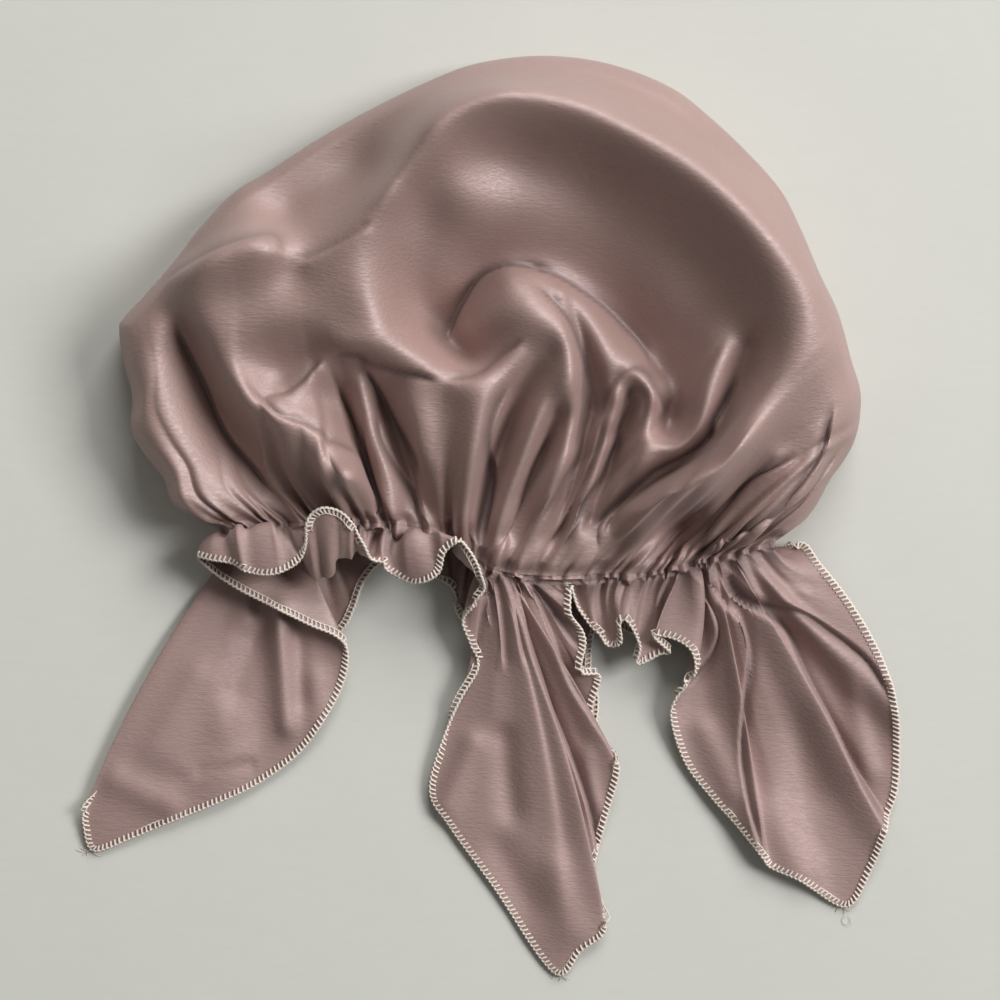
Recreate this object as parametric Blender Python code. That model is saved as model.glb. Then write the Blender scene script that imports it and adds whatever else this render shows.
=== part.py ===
"""Satin sleep bonnet, lying on its side as it is laid on a table.

The real bonnet is one square of satin, overlocked all round, with an elastic sewn on in a
circle.  Inside the circle the cloth puffs out as the crown.  Outside it the cloth makes a short
ruffle, which grows into a long pointed tail at each of the square's four corners.

Frame: metres, +Z up, +Y from the mouth towards the top of the crown, origin on the table
under the middle of the whole bonnet.
"""
import bmesh
import bpy
import numpy as np

# ---------------------------------------------------------------- driving dimensions
MM = 0.001
SQUARE_SIDE = 0.680          # the satin square before it was gathered
SQUARE_SIDE_SEEN = 1545.0    # the same side in the photograph's pixels
SEEN_FROM = 1.20             # height of the eye over the table
SEEN_MIDDLE = (500.0, 500.0)
ORIGIN_SEEN = (491.0, 517.0)
METRES_PER_PIXEL = SQUARE_SIDE / SQUARE_SIDE_SEEN

CROWN_WALL = 1.5 * MM
FRILL_WALL = 1.2 * MM
PIECE_GAP = 0.6 * MM
ELASTIC_GAP = 0.55 * MM      # between the elastic and the cloth that it gathers
MOUTH_HEIGHT = 20.0 * MM     # the flattened ring of the mouth, outside
MOUTH_HALF = 0.5 * MOUTH_HEIGHT
ROLL_FRONT = 9.0 * MM        # how far in from the outline the front layer has rolled over
ROLL_BACK = 8.0 * MM         # and the back layer
EDGE_LIFT = 30.0 * MM        # height the front layer would have at the outline, unrolled
ELASTIC_WIDTH = 8.0 * MM
ELASTIC_THICK = 1.0 * MM
COLLAR = 4.6 * MM            # stretch of cloth each side of the seam that stays over the elastic
COLLAR_BLEND = 9.0 * MM      # over which the folds then grow to their full height
SEAM_CLEARANCE = 0.15 * MM   # more inset of the frill at the seam, so that it clears the crown
OUTLINE_SOFTNESS = 4 * MM    # softness of the crown's outline and of its seam, as folds
SEAM_SOFTNESS = 2 * MM

RIM_FLAT = 1.5 * MM          # flat end of the front's rolled edge
BACK_GAP = 0.6 * MM          # from the flat back to that end, and to the seam
RIM_STEPS = 4                # rows of the rolled edge
RIM_SPAN = 14 * MM           # its direction is taken over this stretch each way
RIM_TURN = 25 * MM           # stretch over which the rolled edge turns towards the mouth line
CROWN_GRID = (38, 27)        # columns along the mouth, rows from the mouth to the outline
FRILL_GRID = (156, 8)        # ribs round the mouth, steps from the mouth to the hem
ELASTIC_STEPS = 72
LEFT_SHARE = 0.13            # stretch of the outline that is the patch's left side
RIGHT_SHARE = 0.12
ROWS_CROWD = 1.35            # over 1 crowds the crown's rows towards the outline, where it rolls
CURVE_STEPS = 24             # samples of a smooth curve between two of its points
RIB_STEPS = 12               # the same between two named ribs
SWEEP_STEPS = 25             # samples along one rib, before they are spaced evenly
LINE_SPACING = 3 * MM        # spacing of the outline's and the mouth line's points
MERGE_WITHIN = 0.02 * MM

# ---------------------------------------------------------------- tables
# Plan places are in the photograph's pixels (x to the right, y down), heights in millimetres.

OUTLINE = (  # x, y: the crown's silhouette from the mouth's left end round to its right end
    (217, 527), (176, 507), (164, 479), (146, 456), (132, 430), (133, 397), (125, 364),
    (120, 331), (125, 318), (151, 290), (179, 257), (200, 229), (235, 193), (268, 173),
    (319, 140), (370, 111), (432, 81), (480, 64), (544, 57), (608, 65), (669, 88),
    (710, 119), (750, 157), (781, 193), (800, 230), (819, 275), (837, 313), (850, 359),
    (860, 398), (853, 443), (830, 479), (815, 506), (797, 526), (776, 541),
)

MOUTH_LINE = (  # x, y: where the elastic is sewn, left to right
    (217, 527), (235, 528), (300, 522), (370, 522), (439, 532), (488, 566), (520, 574),
    (560, 576), (600, 574), (650, 572), (690, 562), (723, 556), (776, 541),
)

CROWN_FOLDS = (  # name, softness of its crest in pixels, (x, y, height) along it
    ("left ridge", 9, ((172, 272, 44), (192, 259, 52), (215, 247, 60), (243, 240, 64),
                       (266, 241, 65), (281, 252, 62))),
    ("main ridge", 8, ((290, 269, 56), (317, 257, 60), (355, 229, 66), (393, 196, 72),
                       (414, 150, 76), (432, 119, 78), (470, 97, 79), (518, 88, 79),
                       (582, 101, 77), (633, 127, 76), (697, 162, 75), (748, 206, 74),
                       (783, 246, 72), (798, 284, 69), (798, 325, 65), (784, 365, 61),
                       (762, 395, 58))),
    ("crescent behind the ridge", 10,
     ((180, 270, 36), (215, 228, 38), (250, 215, 42), (290, 225, 44), (335, 205, 46),
      (372, 175, 46), (396, 135, 48), (425, 103, 48), (470, 82, 44), (530, 73, 42),
      (590, 82, 44), (650, 108, 46), (705, 140, 46), (757, 185, 46), (798, 235, 47),
      (826, 290, 48), (842, 345, 46))),
    ("bowl head", 20, ((470, 140, 67), (520, 130, 66), (590, 150, 63), (650, 190, 60),
                       (700, 235, 57), (735, 285, 54))),
    ("bowl slope", 16, ((428, 175, 67), (450, 186, 62), (475, 205, 55))),
    ("bowl floor", 20, ((520, 205, 48), (565, 225, 41), (610, 258, 35), (645, 300, 31),
                        (680, 345, 28))),
    ("bowl right", 20, ((650, 250, 43), (700, 300, 42), (715, 330, 40))),
    ("pocket rim", 8, ((408, 185, 68), (393, 215, 64), (378, 245, 62), (374, 270, 60),
                       (377, 297, 58), (393, 331, 54), (416, 354, 50), (440, 368, 48))),
    ("pocket wall", 12, ((430, 225, 49), (412, 265, 42), (408, 300, 35), (420, 325, 29))),
    ("pocket floor", 9, ((452, 250, 41), (446, 285, 31), (440, 316, 20), (452, 338, 20),
                         (470, 352, 24))),
    ("valley round the nose", 5, ((562, 273, 33), (545, 264, 34), (526, 259, 34),
                                  (504, 260, 33), (483, 271, 30), (466, 292, 26),
                                  (453, 314, 21))),
    ("nose face", 7, ((506, 276, 45), (490, 292, 43), (477, 314, 39), (470, 340, 32))),
    ("nose crest", 7, ((523, 284, 51), (534, 303, 54), (540, 322, 55), (542, 342, 53))),
    ("nose right side", 6, ((520, 274, 44), (543, 283, 45), (557, 298, 46), (570, 321, 46),
                            (577, 345, 45), (582, 375, 42), (581, 410, 38))),
    ("lip over the pleats", 6, ((336, 350, 50), (363, 352, 52), (393, 360, 50),
                                (420, 370, 49), (444, 378, 48), (483, 372, 48),
                                (505, 361, 49), (524, 346, 51))),
    ("left bulge", 20, ((215, 290, 58), (250, 280, 60), (290, 292, 55), (325, 290, 60),
                        (345, 300, 60))),
    ("bulge foot", 18, ((235, 320, 55), (270, 335, 50), (310, 330, 52), (350, 330, 56))),
    ("hollow", 9, ((245, 360, 46), (268, 380, 39), (290, 372, 38), (312, 352, 42))),
    ("facet rim", 5, ((262, 398, 44), (280, 396, 44), (296, 388, 43), (312, 374, 43),
                      (326, 362, 43))),
    ("pleat 1", 8, ((168, 318, 42), (158, 351, 38), (162, 385, 36), (174, 415, 34),
                    (205, 462, 30), (250, 503, 25))),
    ("valley 1", 7, ((178, 322, 40), (188, 345, 33), (202, 377, 28), (220, 412, 24),
                     (243, 458, 20), (272, 498, 19))),
    ("pleat 2", 5, ((190, 314, 49), (205, 338, 47), (220, 361, 46), (253, 399, 47),
                    (289, 427, 48), (320, 446, 46), (346, 460, 41), (361, 474, 35),
                    (366, 508, 26))),
    ("face under pleat 2", 14, ((225, 395, 36), (265, 440, 32), (300, 480, 27),
                                (320, 505, 22))),
    ("facet", 12, ((315, 405, 40), (335, 430, 38))),
    ("valley 2", 5, ((338, 362, 40), (345, 390, 31), (354, 425, 26), (366, 470, 22),
                     (375, 508, 18))),
    ("pleat 3", 6, ((356, 378, 37), (362, 410, 33), (370, 440, 31), (381, 465, 29),
                    (387, 510, 24))),
    ("valley 3", 6, ((366, 366, 38), (380, 400, 30), (397, 440, 24), (415, 475, 21),
                     (430, 508, 19))),
    ("panel left", 5, ((402, 378, 44), (407, 410, 39), (420, 448, 33), (433, 485, 28),
                       (446, 520, 22))),
    ("panel", 14, ((445, 400, 45), (451, 440, 39), (458, 480, 34), (462, 515, 27))),
    ("panel right crest", 6, ((523, 350, 51), (507, 372, 49), (495, 396, 48),
                              (485, 434, 44), (476, 480, 38), (469, 525, 29))),
    ("valley 4", 6, ((536, 368, 43), (525, 390, 38), (510, 420, 31), (497, 455, 25),
                     (487, 495, 20), (479, 535, 17))),
    ("nose pleat a", 6, ((554, 352, 50), (553, 382, 48), (543, 414, 44), (524, 459, 38),
                         (504, 510, 30), (491, 545, 24))),
    ("valley 5", 6, ((558, 410, 39), (548, 438, 34), (528, 488, 27), (506, 535, 20))),
    ("nose pleat b", 7, ((577, 425, 38), (567, 465, 35), (550, 508, 30), (526, 545, 24))),
    ("nose groove", 6, ((562, 292, 45), (574, 318, 42), (584, 350, 37), (590, 385, 31),
                        (590, 415, 27), (584, 445, 24), (570, 495, 20), (550, 540, 18))),
    ("small pleat", 6, ((574, 302, 41), (588, 334, 39), (601, 379, 35), (607, 408, 32))),
    ("valley 6", 6, ((562, 273, 33), (588, 290, 29), (622, 319, 25), (645, 346, 23),
                     (657, 372, 22))),
    ("arch top", 6, ((617, 379, 38), (630, 371, 41), (644, 376, 42), (655, 392, 41))),
    ("arch left leg", 6, ((620, 398, 40), (604, 439, 36), (590, 475, 32), (577, 508, 28),
                          (563, 545, 23))),
    ("arch valley", 5, ((632, 395, 32), (622, 428, 27), (606, 478, 23), (590, 522, 19))),
    ("arch right leg", 6, ((655, 402, 41), (643, 430, 39), (634, 456, 37), (620, 491, 32),
                           (606, 515, 28), (599, 545, 23))),
    ("pit", 9, ((690, 345, 31), (680, 385, 27), (668, 415, 23), (672, 432, 24))),
    ("swag crest", 6, ((733, 333, 44), (722, 363, 45), (708, 392, 45), (700, 425, 43),
                       (680, 450, 41), (655, 459, 39))),
    ("swag groove", 6, ((748, 345, 42), (738, 380, 38), (722, 425, 35), (700, 452, 32),
                        (672, 470, 29), (645, 488, 26), (620, 506, 23), (608, 525, 20))),
    ("right swag", 10, ((615, 532, 25), (628, 511, 36), (650, 491, 45), (680, 476, 50),
                        (710, 456, 53), (735, 426, 55), (762, 395, 58))),
    ("right shoulder", 16, ((830, 345, 56), (825, 385, 52), (790, 420, 51), (755, 455, 48),
                            (722, 490, 42))),
    ("swag hollow", 12, ((685, 505, 32), (660, 520, 29), (640, 545, 22))),
    ("right valley", 8, ((705, 540, 22), (725, 510, 29), (748, 485, 36), (775, 455, 44))),
    ("right face", 10, ((725, 530, 28), (765, 495, 38), (800, 455, 43))),
    ("right pleat", 5, ((720, 546, 26), (764, 523, 34), (805, 481, 40), (828, 437, 43),
                        (842, 402, 44))),
    ("right pleat foot", 5, ((745, 545, 21), (784, 524, 25), (820, 484, 30),
                             (842, 442, 34))),
)

# A rib runs from the seam over a bend to the hem.  Crest ribs stand high and valley ribs low, so
# the folds of the tails run along the ribs and the waves of the ruffle run across them.
FRILL_RIBS = (  # name, seam side, seam x, bend (x, y, height), hem (x, y, height)
    ("centre tail tip", "front", 504, (540, 760, 12), (554, 973, 2)),
    ("centre tail left 1", "front", 501, (502, 745, 9), (493, 886, 3)),
    ("centre tail left 2", "front", 498.5, (482, 735, 8), (448, 824, 3)),
    ("centre tail left corner", "front", 496, (468, 700, 8), (430, 785, 4)),
    ("centre tail left 3", "front", 493.5, (474, 650, 10), (456, 709, 7)),
    ("centre tail left 4", "front", 491, (478, 622, 13), (478, 668, 10)),
    ("centre tail left 5", "front", 488, (474, 602, 15), (471, 645, 12)),
    ("tucked hem 1", "front", 484, (468, 592, 15), (463, 622, 14)),
    ("ruffle curl 1", "front", 479, (478, 585, 20), (470, 606, 20)),
    ("ruffle curl 2", "front", 470, (474, 572, 25), (483, 588, 25)),
    ("ruffle curl 3", "front", 456, (466, 560, 29), (478, 563, 31)),
    ("ruffle curl 4", "front", 446, (453, 541, 33), (461, 543, 36)),
    ("ruffle curl 5", "front", 436, (440, 533, 34), (445, 552, 34)),
    ("ruffle dip 1", "front", 424, (426, 528, 28), (437, 575, 30)),
    ("ruffle dip 2", "front", 410, (407, 533, 27), (416, 583, 26)),
    ("ruffle dip 3", "front", 396, (398, 550, 24), (396, 576, 25)),
    ("ruffle rise 1", "front", 380, (377, 553, 24), (378, 560, 27)),
    ("ruffle rise 2", "front", 364, (363, 555, 25), (361, 539, 35)),
    ("ruffle lobe 1", "front", 350, (350, 555, 26), (349, 519, 41)),
    ("ruffle lobe 2", "front", 336, (338, 562, 25), (336, 510, 43)),
    ("ruffle lobe 3", "front", 322, (328, 574, 22), (321, 508, 43)),
    ("ruffle lobe 4", "front", 308, (318, 578, 20), (307, 521, 40)),
    ("ruffle lobe 5", "front", 296, (302, 560, 24), (305, 545, 35)),
    ("left lobe 1", "front", 284, (288, 535, 27), (298, 562, 31)),
    ("left lobe 2", "front", 268, (270, 522, 27), (278, 573, 31)),
    ("left lobe 3", "front", 250, (248, 526, 27), (256, 574, 30)),
    ("left lobe 4", "front", 236, (228, 529, 26), (233, 565, 29)),
    ("left lobe 5", "front", 225, (212, 538, 24), (212, 560, 26)),
    ("left turn", "front", 218, (202, 549, 18), (199, 558, 21)),
    ("flap 1", "back", 221, (232, 562, 9), (214, 573, 17)),
    ("flap 2", "back", 225, (275, 572, 9), (240, 590, 16)),
    ("flap 3", "back", 231, (303, 582, 10), (276, 608, 16)),
    ("flap 4", "back", 238, (318, 590, 11), (310, 625, 15)),
    ("flap corner", "back", 246, (322, 593, 11), (334, 635, 13)),
    ("left tail right 1", "back", 252, (322, 598, 9), (346, 648, 10)),
    ("left tail right 2", "back", 256, (318, 608, 6.5), (346, 672, 7)),
    ("left tail right 3", "back", 260, (308, 622, 5.5), (333, 705, 5)),
    ("left tail crest", "back", 262, (286, 650, 8), (302, 750, 4)),
    ("left tail valley", "back", 262, (262, 655, 5), (262, 781, 3)),
    ("left tail left 1", "back", 260, (235, 680, 8), (222, 801, 4)),
    ("left tail left 2", "back", 256, (200, 700, 7), (170, 822, 3)),
    ("left tail left 3", "back", 252, (180, 692, 7), (132, 838, 2.5)),
    ("left tail tip", "back", 248, (165, 690, 7), (94, 851, 2)),
    ("left tail turn", "back", 244, (152, 680, 6.5), (84, 828, 3.2)),
    ("left tail fold", "back", 243, (150, 672, 5), (86, 808, 4.6)),
    ("left tail under 1", "back", 248, (178, 662, 2.6), (106, 786, 2)),
    ("left tail under 2", "back", 256, (215, 648, 1.8), (160, 715, 1)),
    ("left tail under 3", "back", 268, (255, 620, 1.5), (235, 655, 1)),
    ("back ruffle 1", "back", 292, (300, 588, 2), (300, 638, 1)),
    ("back ruffle 2", "back", 316, (330, 582, 3), (342, 630, 3)),
    ("back ruffle 3", "back", 342, (352, 568, 4), (365, 580, 8)),
    ("back ruffle 4", "back", 372, (376, 552, 2), (385, 563, 2)),
    ("back ruffle 5", "back", 406, (410, 556, 2), (415, 572, 1)),
    ("back ruffle 6", "back", 440, (443, 560, 2), (450, 585, 3)),
    ("back ruffle 7", "back", 464, (460, 585, 3), (457, 612, 4)),
    ("back ruffle 8", "back", 480, (472, 610, 3), (474, 645, 4)),
    ("back tail left 1", "back", 490, (490, 680, 1.5), (478, 740, 1)),
    ("back tail left 2", "back", 498, (502, 740, 1.5), (494, 830, 1)),
    ("back tail tip", "back", 505, (530, 760, 1.5), (545, 925, 1)),
    ("back tail right 1", "back", 515, (548, 750, 1.5), (575, 840, 1)),
    ("back tail right 2", "back", 530, (560, 700, 1.5), (590, 760, 1)),
    ("back tail right 3", "back", 545, (570, 650, 2), (598, 702, 2)),
    ("back ruffle 9", "back", 562, (575, 620, 2), (590, 668, 2)),
    ("back ruffle 10", "back", 600, (600, 600, 1.5), (600, 622, 1)),
    ("back ruffle 11", "back", 645, (644, 600, 1.5), (646, 636, 1)),
    ("back ruffle 12", "back", 690, (692, 590, 1.5), (700, 625, 1)),
    ("back ruffle 13", "back", 732, (740, 565, 1.5), (758, 588, 1)),
    ("back ruffle 14", "back", 760, (774, 553, 3), (781, 559, 4)),
    ("right turn", "back", 773, (784, 547, 7), (801, 542, 9)),
    ("right tail top 1", "front", 771, (796, 562, 13), (822, 566, 12)),
    ("right tail top 2", "front", 762, (808, 590, 13), (852, 605, 12)),
    ("right tail top 3", "front", 753, (812, 612, 12), (880, 655, 11)),
    ("right tail crest c", "front", 745, (800, 618, 15), (896, 703, 12)),
    ("right tail valley c", "front", 741, (793, 636, 7), (899, 745, 6)),
    ("right tail right", "front", 737, (796, 664, 6), (897, 790, 4)),
    ("right tail under b", "front", 733, (790, 662, 6), (889, 815, 4)),
    ("right tail crest b", "front", 729, (795, 662, 13), (886, 833, 8)),
    ("right tail face b", "front", 725, (780, 690, 8), (872, 868, 4)),
    ("right tail tip", "front", 721, (765, 700, 7), (847, 907, 2)),
    ("right tail left 1", "front", 717, (752, 700, 6), (800, 880, 3)),
    ("right tail under a", "front", 714, (738, 690, 5), (772, 868, 4)),
    ("right tail crest a", "front", 711, (741, 693, 12), (762, 857, 7)),
    ("right tail left 2", "front", 706, (725, 690, 8), (737, 826, 4)),
    ("right tail left 3", "front", 702, (708, 680, 6), (712, 798, 4)),
    ("right tail left 4", "front", 698, (695, 668, 7), (686, 764, 4)),
    ("right tail left 5", "front", 695, (690, 650, 9), (672, 722, 7)),
    ("right curl 1", "front", 692, (696, 638, 12), (675, 700, 10)),
    ("right curl 2", "front", 690, (700, 622, 16), (693, 675, 14)),
    ("right curl 3", "front", 687, (694, 610, 19), (692, 652, 18)),
    ("right curl 4", "front", 683, (680, 600, 20), (675, 639, 20)),
    ("right curl 5", "front", 679, (666, 596, 20), (653, 636, 20)),
    ("right ruffle 1", "front", 672, (666, 608, 16), (668, 652, 15)),
    ("right ruffle 2", "front", 664, (655, 608, 15), (660, 654, 14)),
    ("right ruffle 3", "front", 652, (642, 610, 16), (638, 664, 15)),
    ("right ruffle 4", "front", 642, (635, 604, 19), (640, 645, 19)),
    ("right ruffle 5", "front", 632, (626, 598, 21), (628, 621, 23)),
    ("right ruffle 6", "front", 624, (618, 598, 20), (619, 623, 22)),
    ("right ruffle 7", "front", 616, (612, 604, 17), (622, 641, 17)),
    ("right ruffle 8", "front", 606, (600, 604, 16), (610, 646, 15)),
    ("right ruffle 9", "front", 594, (588, 598, 16), (594, 630, 16)),
    ("right ruffle 10", "front", 582, (578, 592, 15), (582, 612, 15)),
    ("centre flap 1", "front", 562, (566, 586, 18), (572, 584, 20)),
    ("centre flap 2", "front", 545, (560, 594, 19), (569, 599, 21)),
    ("centre flap 3", "front", 532, (556, 604, 17), (575, 622, 18)),
    ("centre flap 4", "front", 524, (556, 618, 15), (585, 641, 15)),
    ("centre flap 5", "front", 520, (556, 632, 13), (581, 672, 13)),
    ("centre flap 6", "front", 517, (560, 650, 12), (600, 677, 10)),
    ("centre tail right 1", "front", 515, (566, 672, 8), (592, 712, 6)),
    ("centre tail under b", "front", 513.5, (566, 672, 7), (604, 745, 5)),
    ("centre tail crest b", "front", 512, (562, 662, 14), (619, 767, 9)),
    ("centre tail face b", "front", 510.5, (560, 690, 9), (608, 812, 5)),
    ("centre tail valley a", "front", 509, (556, 705, 7), (598, 850, 4)),
    ("centre tail under a", "front", 508, (548, 700, 7), (590, 885, 4)),
    ("centre tail crest a", "front", 507, (553, 711, 14), (606, 928, 5)),
    ("centre tail face a", "front", 505.5, (546, 735, 12), (582, 950, 3)),
)


# ---------------------------------------------------------------- curves and surfaces
def place(seen):
    """Seen (x, y, height) to metres.  A point raised over the table looks further out from the
    picture's middle than it is, by height over the eye's height, so it is drawn back in."""
    seen = np.asarray(seen, float)
    height = seen[..., 2] * MM
    shrink = 1.0 - height / SEEN_FROM
    across = (seen[..., 0] - SEEN_MIDDLE[0]) * shrink + SEEN_MIDDLE[0] - ORIGIN_SEEN[0]
    down = (seen[..., 1] - SEEN_MIDDLE[1]) * shrink + SEEN_MIDDLE[1] - ORIGIN_SEEN[1]
    return np.stack([across * METRES_PER_PIXEL, -down * METRES_PER_PIXEL, height], -1)


def at_height(points, height):
    """Seen (x, y) points, all at one height in metres."""
    return place([(x, y, height / MM) for x, y in points])


def catmull_rom(points, steps, closed=False):
    """Smooth curve or strip through points (rows), with steps samples for each span."""
    points = np.asarray(points, float)
    if closed:
        ends = np.concatenate([points[-1:], points, points[:2]])
    else:
        ends = np.concatenate([[2 * points[0] - points[1]], points, [2 * points[-1] - points[-2]]])
    t = (np.arange(steps) / steps).reshape((-1,) + (1,) * (points.ndim - 1))
    spans = []
    for a, b, c, d in zip(ends[:-3], ends[1:-2], ends[2:-1], ends[3:]):
        spans.append(0.5 * (2 * b + (c - a) * t + (2 * a - 5 * b + 4 * c - d) * t ** 2
                            + (3 * b - a - 3 * c + d) * t ** 3))
    if not closed:
        spans.append(points[-1:])
    return np.concatenate(spans)


def by_length(curve):
    """Function from 0..1 to points of a curve, even by length."""
    length = np.r_[0.0, np.cumsum(np.linalg.norm(np.diff(curve, axis=0), axis=1))]
    share = length / length[-1]
    return lambda q: np.stack([np.interp(q, share, column) for column in curve.T], -1)


def resample(points, spacing):
    """The smooth curve through points, with a point every spacing metres."""
    curve = catmull_rom(points, CURVE_STEPS)
    total = np.linalg.norm(np.diff(curve, axis=0), axis=1).sum()
    return by_length(curve)(np.linspace(0, 1, max(2, int(round(total / spacing)) + 1)))


def plan_distance(points, line):
    """Shortest plan distance from each point to a polyline."""
    best = np.full(len(points), np.inf)
    for start, end in zip(line[:-1], line[1:]):
        run = end - start
        t = np.clip(((points - start) @ run) / (run @ run), 0, 1)[:, None]
        best = np.minimum(best, np.linalg.norm(points - start - t * run, axis=1))
    return best


def quarter_round(distance, width):
    """0 at the outline, rising as a quarter circle to 1 at width."""
    t = np.clip(distance / width, 0, 1)
    return np.sqrt(1 - (1 - t) ** 2)


def smooth_step(t):
    t = np.clip(t, 0, 1)
    return t * t * (3 - 2 * t)


def fit_relief(rows, spacing=6.5 * MM, closest=2.6 * MM, smoothing=0.6 * MM):
    """Cloth stretched over fold lines: height(x, y) = base + sum of weight * cone, where each
    point of a fold line carries one cone, -sqrt(distance^2 + softness^2), and the weights make
    the sum pass through every fold at its height."""
    spots, heights, softness = [], [], []
    for line, soft in rows:
        for x, y, z in resample(line, spacing):
            if all((x - a) ** 2 + (y - b) ** 2 > closest ** 2 for a, b in spots):
                spots.append((x, y))
                heights.append(z)
                softness.append(soft)
    spots, softness = np.array(spots), np.array(softness)
    count = len(spots)
    cones = -np.sqrt(((spots[:, None] - spots[None]) ** 2).sum(-1) + softness ** 2)
    system = np.ones((count + 1, count + 1))
    system[:count, :count] = cones + smoothing * np.eye(count)
    system[count, count] = 0
    solved = np.linalg.solve(system, np.r_[heights, 0.0])

    def height(points):
        apart = ((points[:, None] - spots[None]) ** 2).sum(-1)
        return -np.sqrt(apart + softness ** 2) @ solved[:count] + solved[count]
    return height


# ---------------------------------------------------------------- shared lines
outline = resample(at_height(OUTLINE, MOUTH_HALF), LINE_SPACING)[:, :2]
mouth_line = resample(at_height(MOUTH_LINE, MOUTH_HEIGHT), LINE_SPACING)[:, :2]
mouth_line[0], mouth_line[-1] = outline[0], outline[-1]
mouth_at = by_length(mouth_line)
mouth_length = np.linalg.norm(np.diff(mouth_line, axis=0), axis=1).sum()


def mouth_ring(turn, inset=0.0, shift=0.0):
    """Point of the flattened ring at the seam.  turn runs 0..1 along the front from the right
    end to the left and 1..2 along the back to the right again; inset moves it into the mouth."""
    turn = np.asarray(turn, float) % 2.0
    front = turn <= 1.0
    along = np.where(front, 1 - turn, turn - 1)
    flat = mouth_at(along)
    to_end = np.minimum(along, 1 - along) * mouth_length
    width = np.where(front, ROLL_FRONT, ROLL_BACK)
    reach = quarter_round(np.maximum(to_end - inset, 0.0), width)
    half = (MOUTH_HALF - inset) * reach
    end_shift = np.where(along < 0.5, 1.0, -1.0) * np.maximum(inset - to_end, 0.0)
    x = flat[..., 0] + end_shift
    y = flat[..., 1] + shift
    return np.stack([x, y, MOUTH_HALF + np.where(front, half, -half)], -1)


# ---------------------------------------------------------------- crown
def crown_patch():
    """Plan grid between the mouth and the outline: each point is the mean of the two ways
    across, less the plain blend of the four corners, as in a patch between four curves."""
    columns, rows = CROWN_GRID
    whole = by_length(outline)
    u = np.linspace(0, 1, columns)
    v = 1 - (1 - np.linspace(0, 1, rows)) ** ROWS_CROWD
    low, high = mouth_at(u), whole(LEFT_SHARE + u * (1 - LEFT_SHARE - RIGHT_SHARE))
    left, right = whole(v * LEFT_SHARE), whole(1 - v * RIGHT_SHARE)
    across, along = u[:, None, None], v[None, :, None]
    corners = ((1 - across) * ((1 - along) * low[0] + along * high[0])
               + across * ((1 - along) * low[-1] + along * high[-1]))
    return ((1 - along) * low[:, None] + along * high[:, None]
            + (1 - across) * left[None] + across * right[None] - corners)


def crown_heights(patch):
    """Heights of the crown's front over its plan grid."""
    rows = [(place(line), soft * METRES_PER_PIXEL) for _name, soft, line in CROWN_FOLDS]
    lifted = at_height(OUTLINE, MOUTH_HALF) + (0, 0, EDGE_LIFT - MOUTH_HALF)
    rows.append((lifted, OUTLINE_SOFTNESS))
    rows.append((at_height(MOUTH_LINE, MOUTH_HEIGHT), SEAM_SOFTNESS))
    points = patch.reshape(-1, 2)
    relief = fit_relief(rows)(points)
    open_cloth = smooth_step((plan_distance(points, mouth_line) - COLLAR) / COLLAR_BLEND)
    relief = MOUTH_HEIGHT + (relief - MOUTH_HEIGHT) * open_cloth
    rolled = quarter_round(plan_distance(points, outline), ROLL_FRONT)
    return (MOUTH_HALF + (relief - MOUTH_HALF) * rolled).reshape(patch.shape[:2])


def rim_directions(border):
    """Unit plan directions from the outline inwards.  They are square to it, and turn towards
    the mouth line at its two ends."""
    walked = np.r_[0.0, np.cumsum(np.linalg.norm(np.diff(border, axis=0), axis=1))]
    at = by_length(border)
    run = at((walked + RIM_SPAN) / walked[-1]) - at((walked - RIM_SPAN) / walked[-1])
    inward = np.stack([run[:, 1], -run[:, 0]], -1)
    inward /= np.linalg.norm(inward, axis=1, keepdims=True)
    to_end = np.minimum(walked, walked[-1] - walked)
    free = smooth_step(to_end / RIM_TURN)[:, None]
    share = ROLL_BACK / mouth_length
    first, last = mouth_at(share) - mouth_line[0], mouth_at(1 - share) - mouth_line[-1]
    ends = np.where(walked[:, None] < walked[-1] / 2, first / np.linalg.norm(first),
                    last / np.linalg.norm(last))
    blend = free * inward + (1 - free) * ends
    return blend / np.linalg.norm(blend, axis=1, keepdims=True)


def grid_faces(index):
    """Quads of a grid of vertex numbers."""
    return np.stack([index[:-1, :-1], index[1:, :-1], index[1:, 1:], index[:-1, 1:]],
                    -1).reshape(-1, 4)


def crown_border(patch):
    """The front's edge along the outline: up the left side, over the top, down the right."""
    return np.concatenate([patch[0, :-1], patch[:, -1], patch[-1, -2::-1]])


def make_crown_front(material):
    """The folded front, rolling over at the outline and under to the table."""
    patch = crown_patch()
    heights = crown_heights(patch)
    border = crown_border(patch)
    angle = np.linspace(0, np.pi / 2, RIM_STEPS + 1)
    reach = np.r_[ROLL_BACK * (1 - np.cos(angle)), ROLL_BACK + RIM_FLAT]
    height = np.r_[MOUTH_HALF * (1 - np.sin(angle)), 0.0]
    rim_plan = border + rim_directions(border) * reach[:, None, None]
    rim_height = np.broadcast_to(height[:, None], rim_plan.shape[:2])
    vertices = np.concatenate([np.dstack([patch, heights]).reshape(-1, 3),
                               np.dstack([rim_plan, rim_height]).reshape(-1, 3)])
    front = np.arange(heights.size).reshape(heights.shape)
    rim = np.arange(rim_height.size).reshape(rim_height.shape) + heights.size
    faces = np.concatenate([grid_faces(front), grid_faces(rim)])
    mesh = bpy.data.meshes.new("crown_front")
    mesh.from_pydata(vertices.tolist(), [], faces.tolist())
    shell = bmesh.new()
    shell.from_mesh(mesh)
    bmesh.ops.remove_doubles(shell, verts=shell.verts, dist=MERGE_WITHIN)
    shell.to_mesh(mesh)
    shell.free()
    return finish_cloth("crown_front", mesh, material, CROWN_WALL, -1.0)


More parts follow.
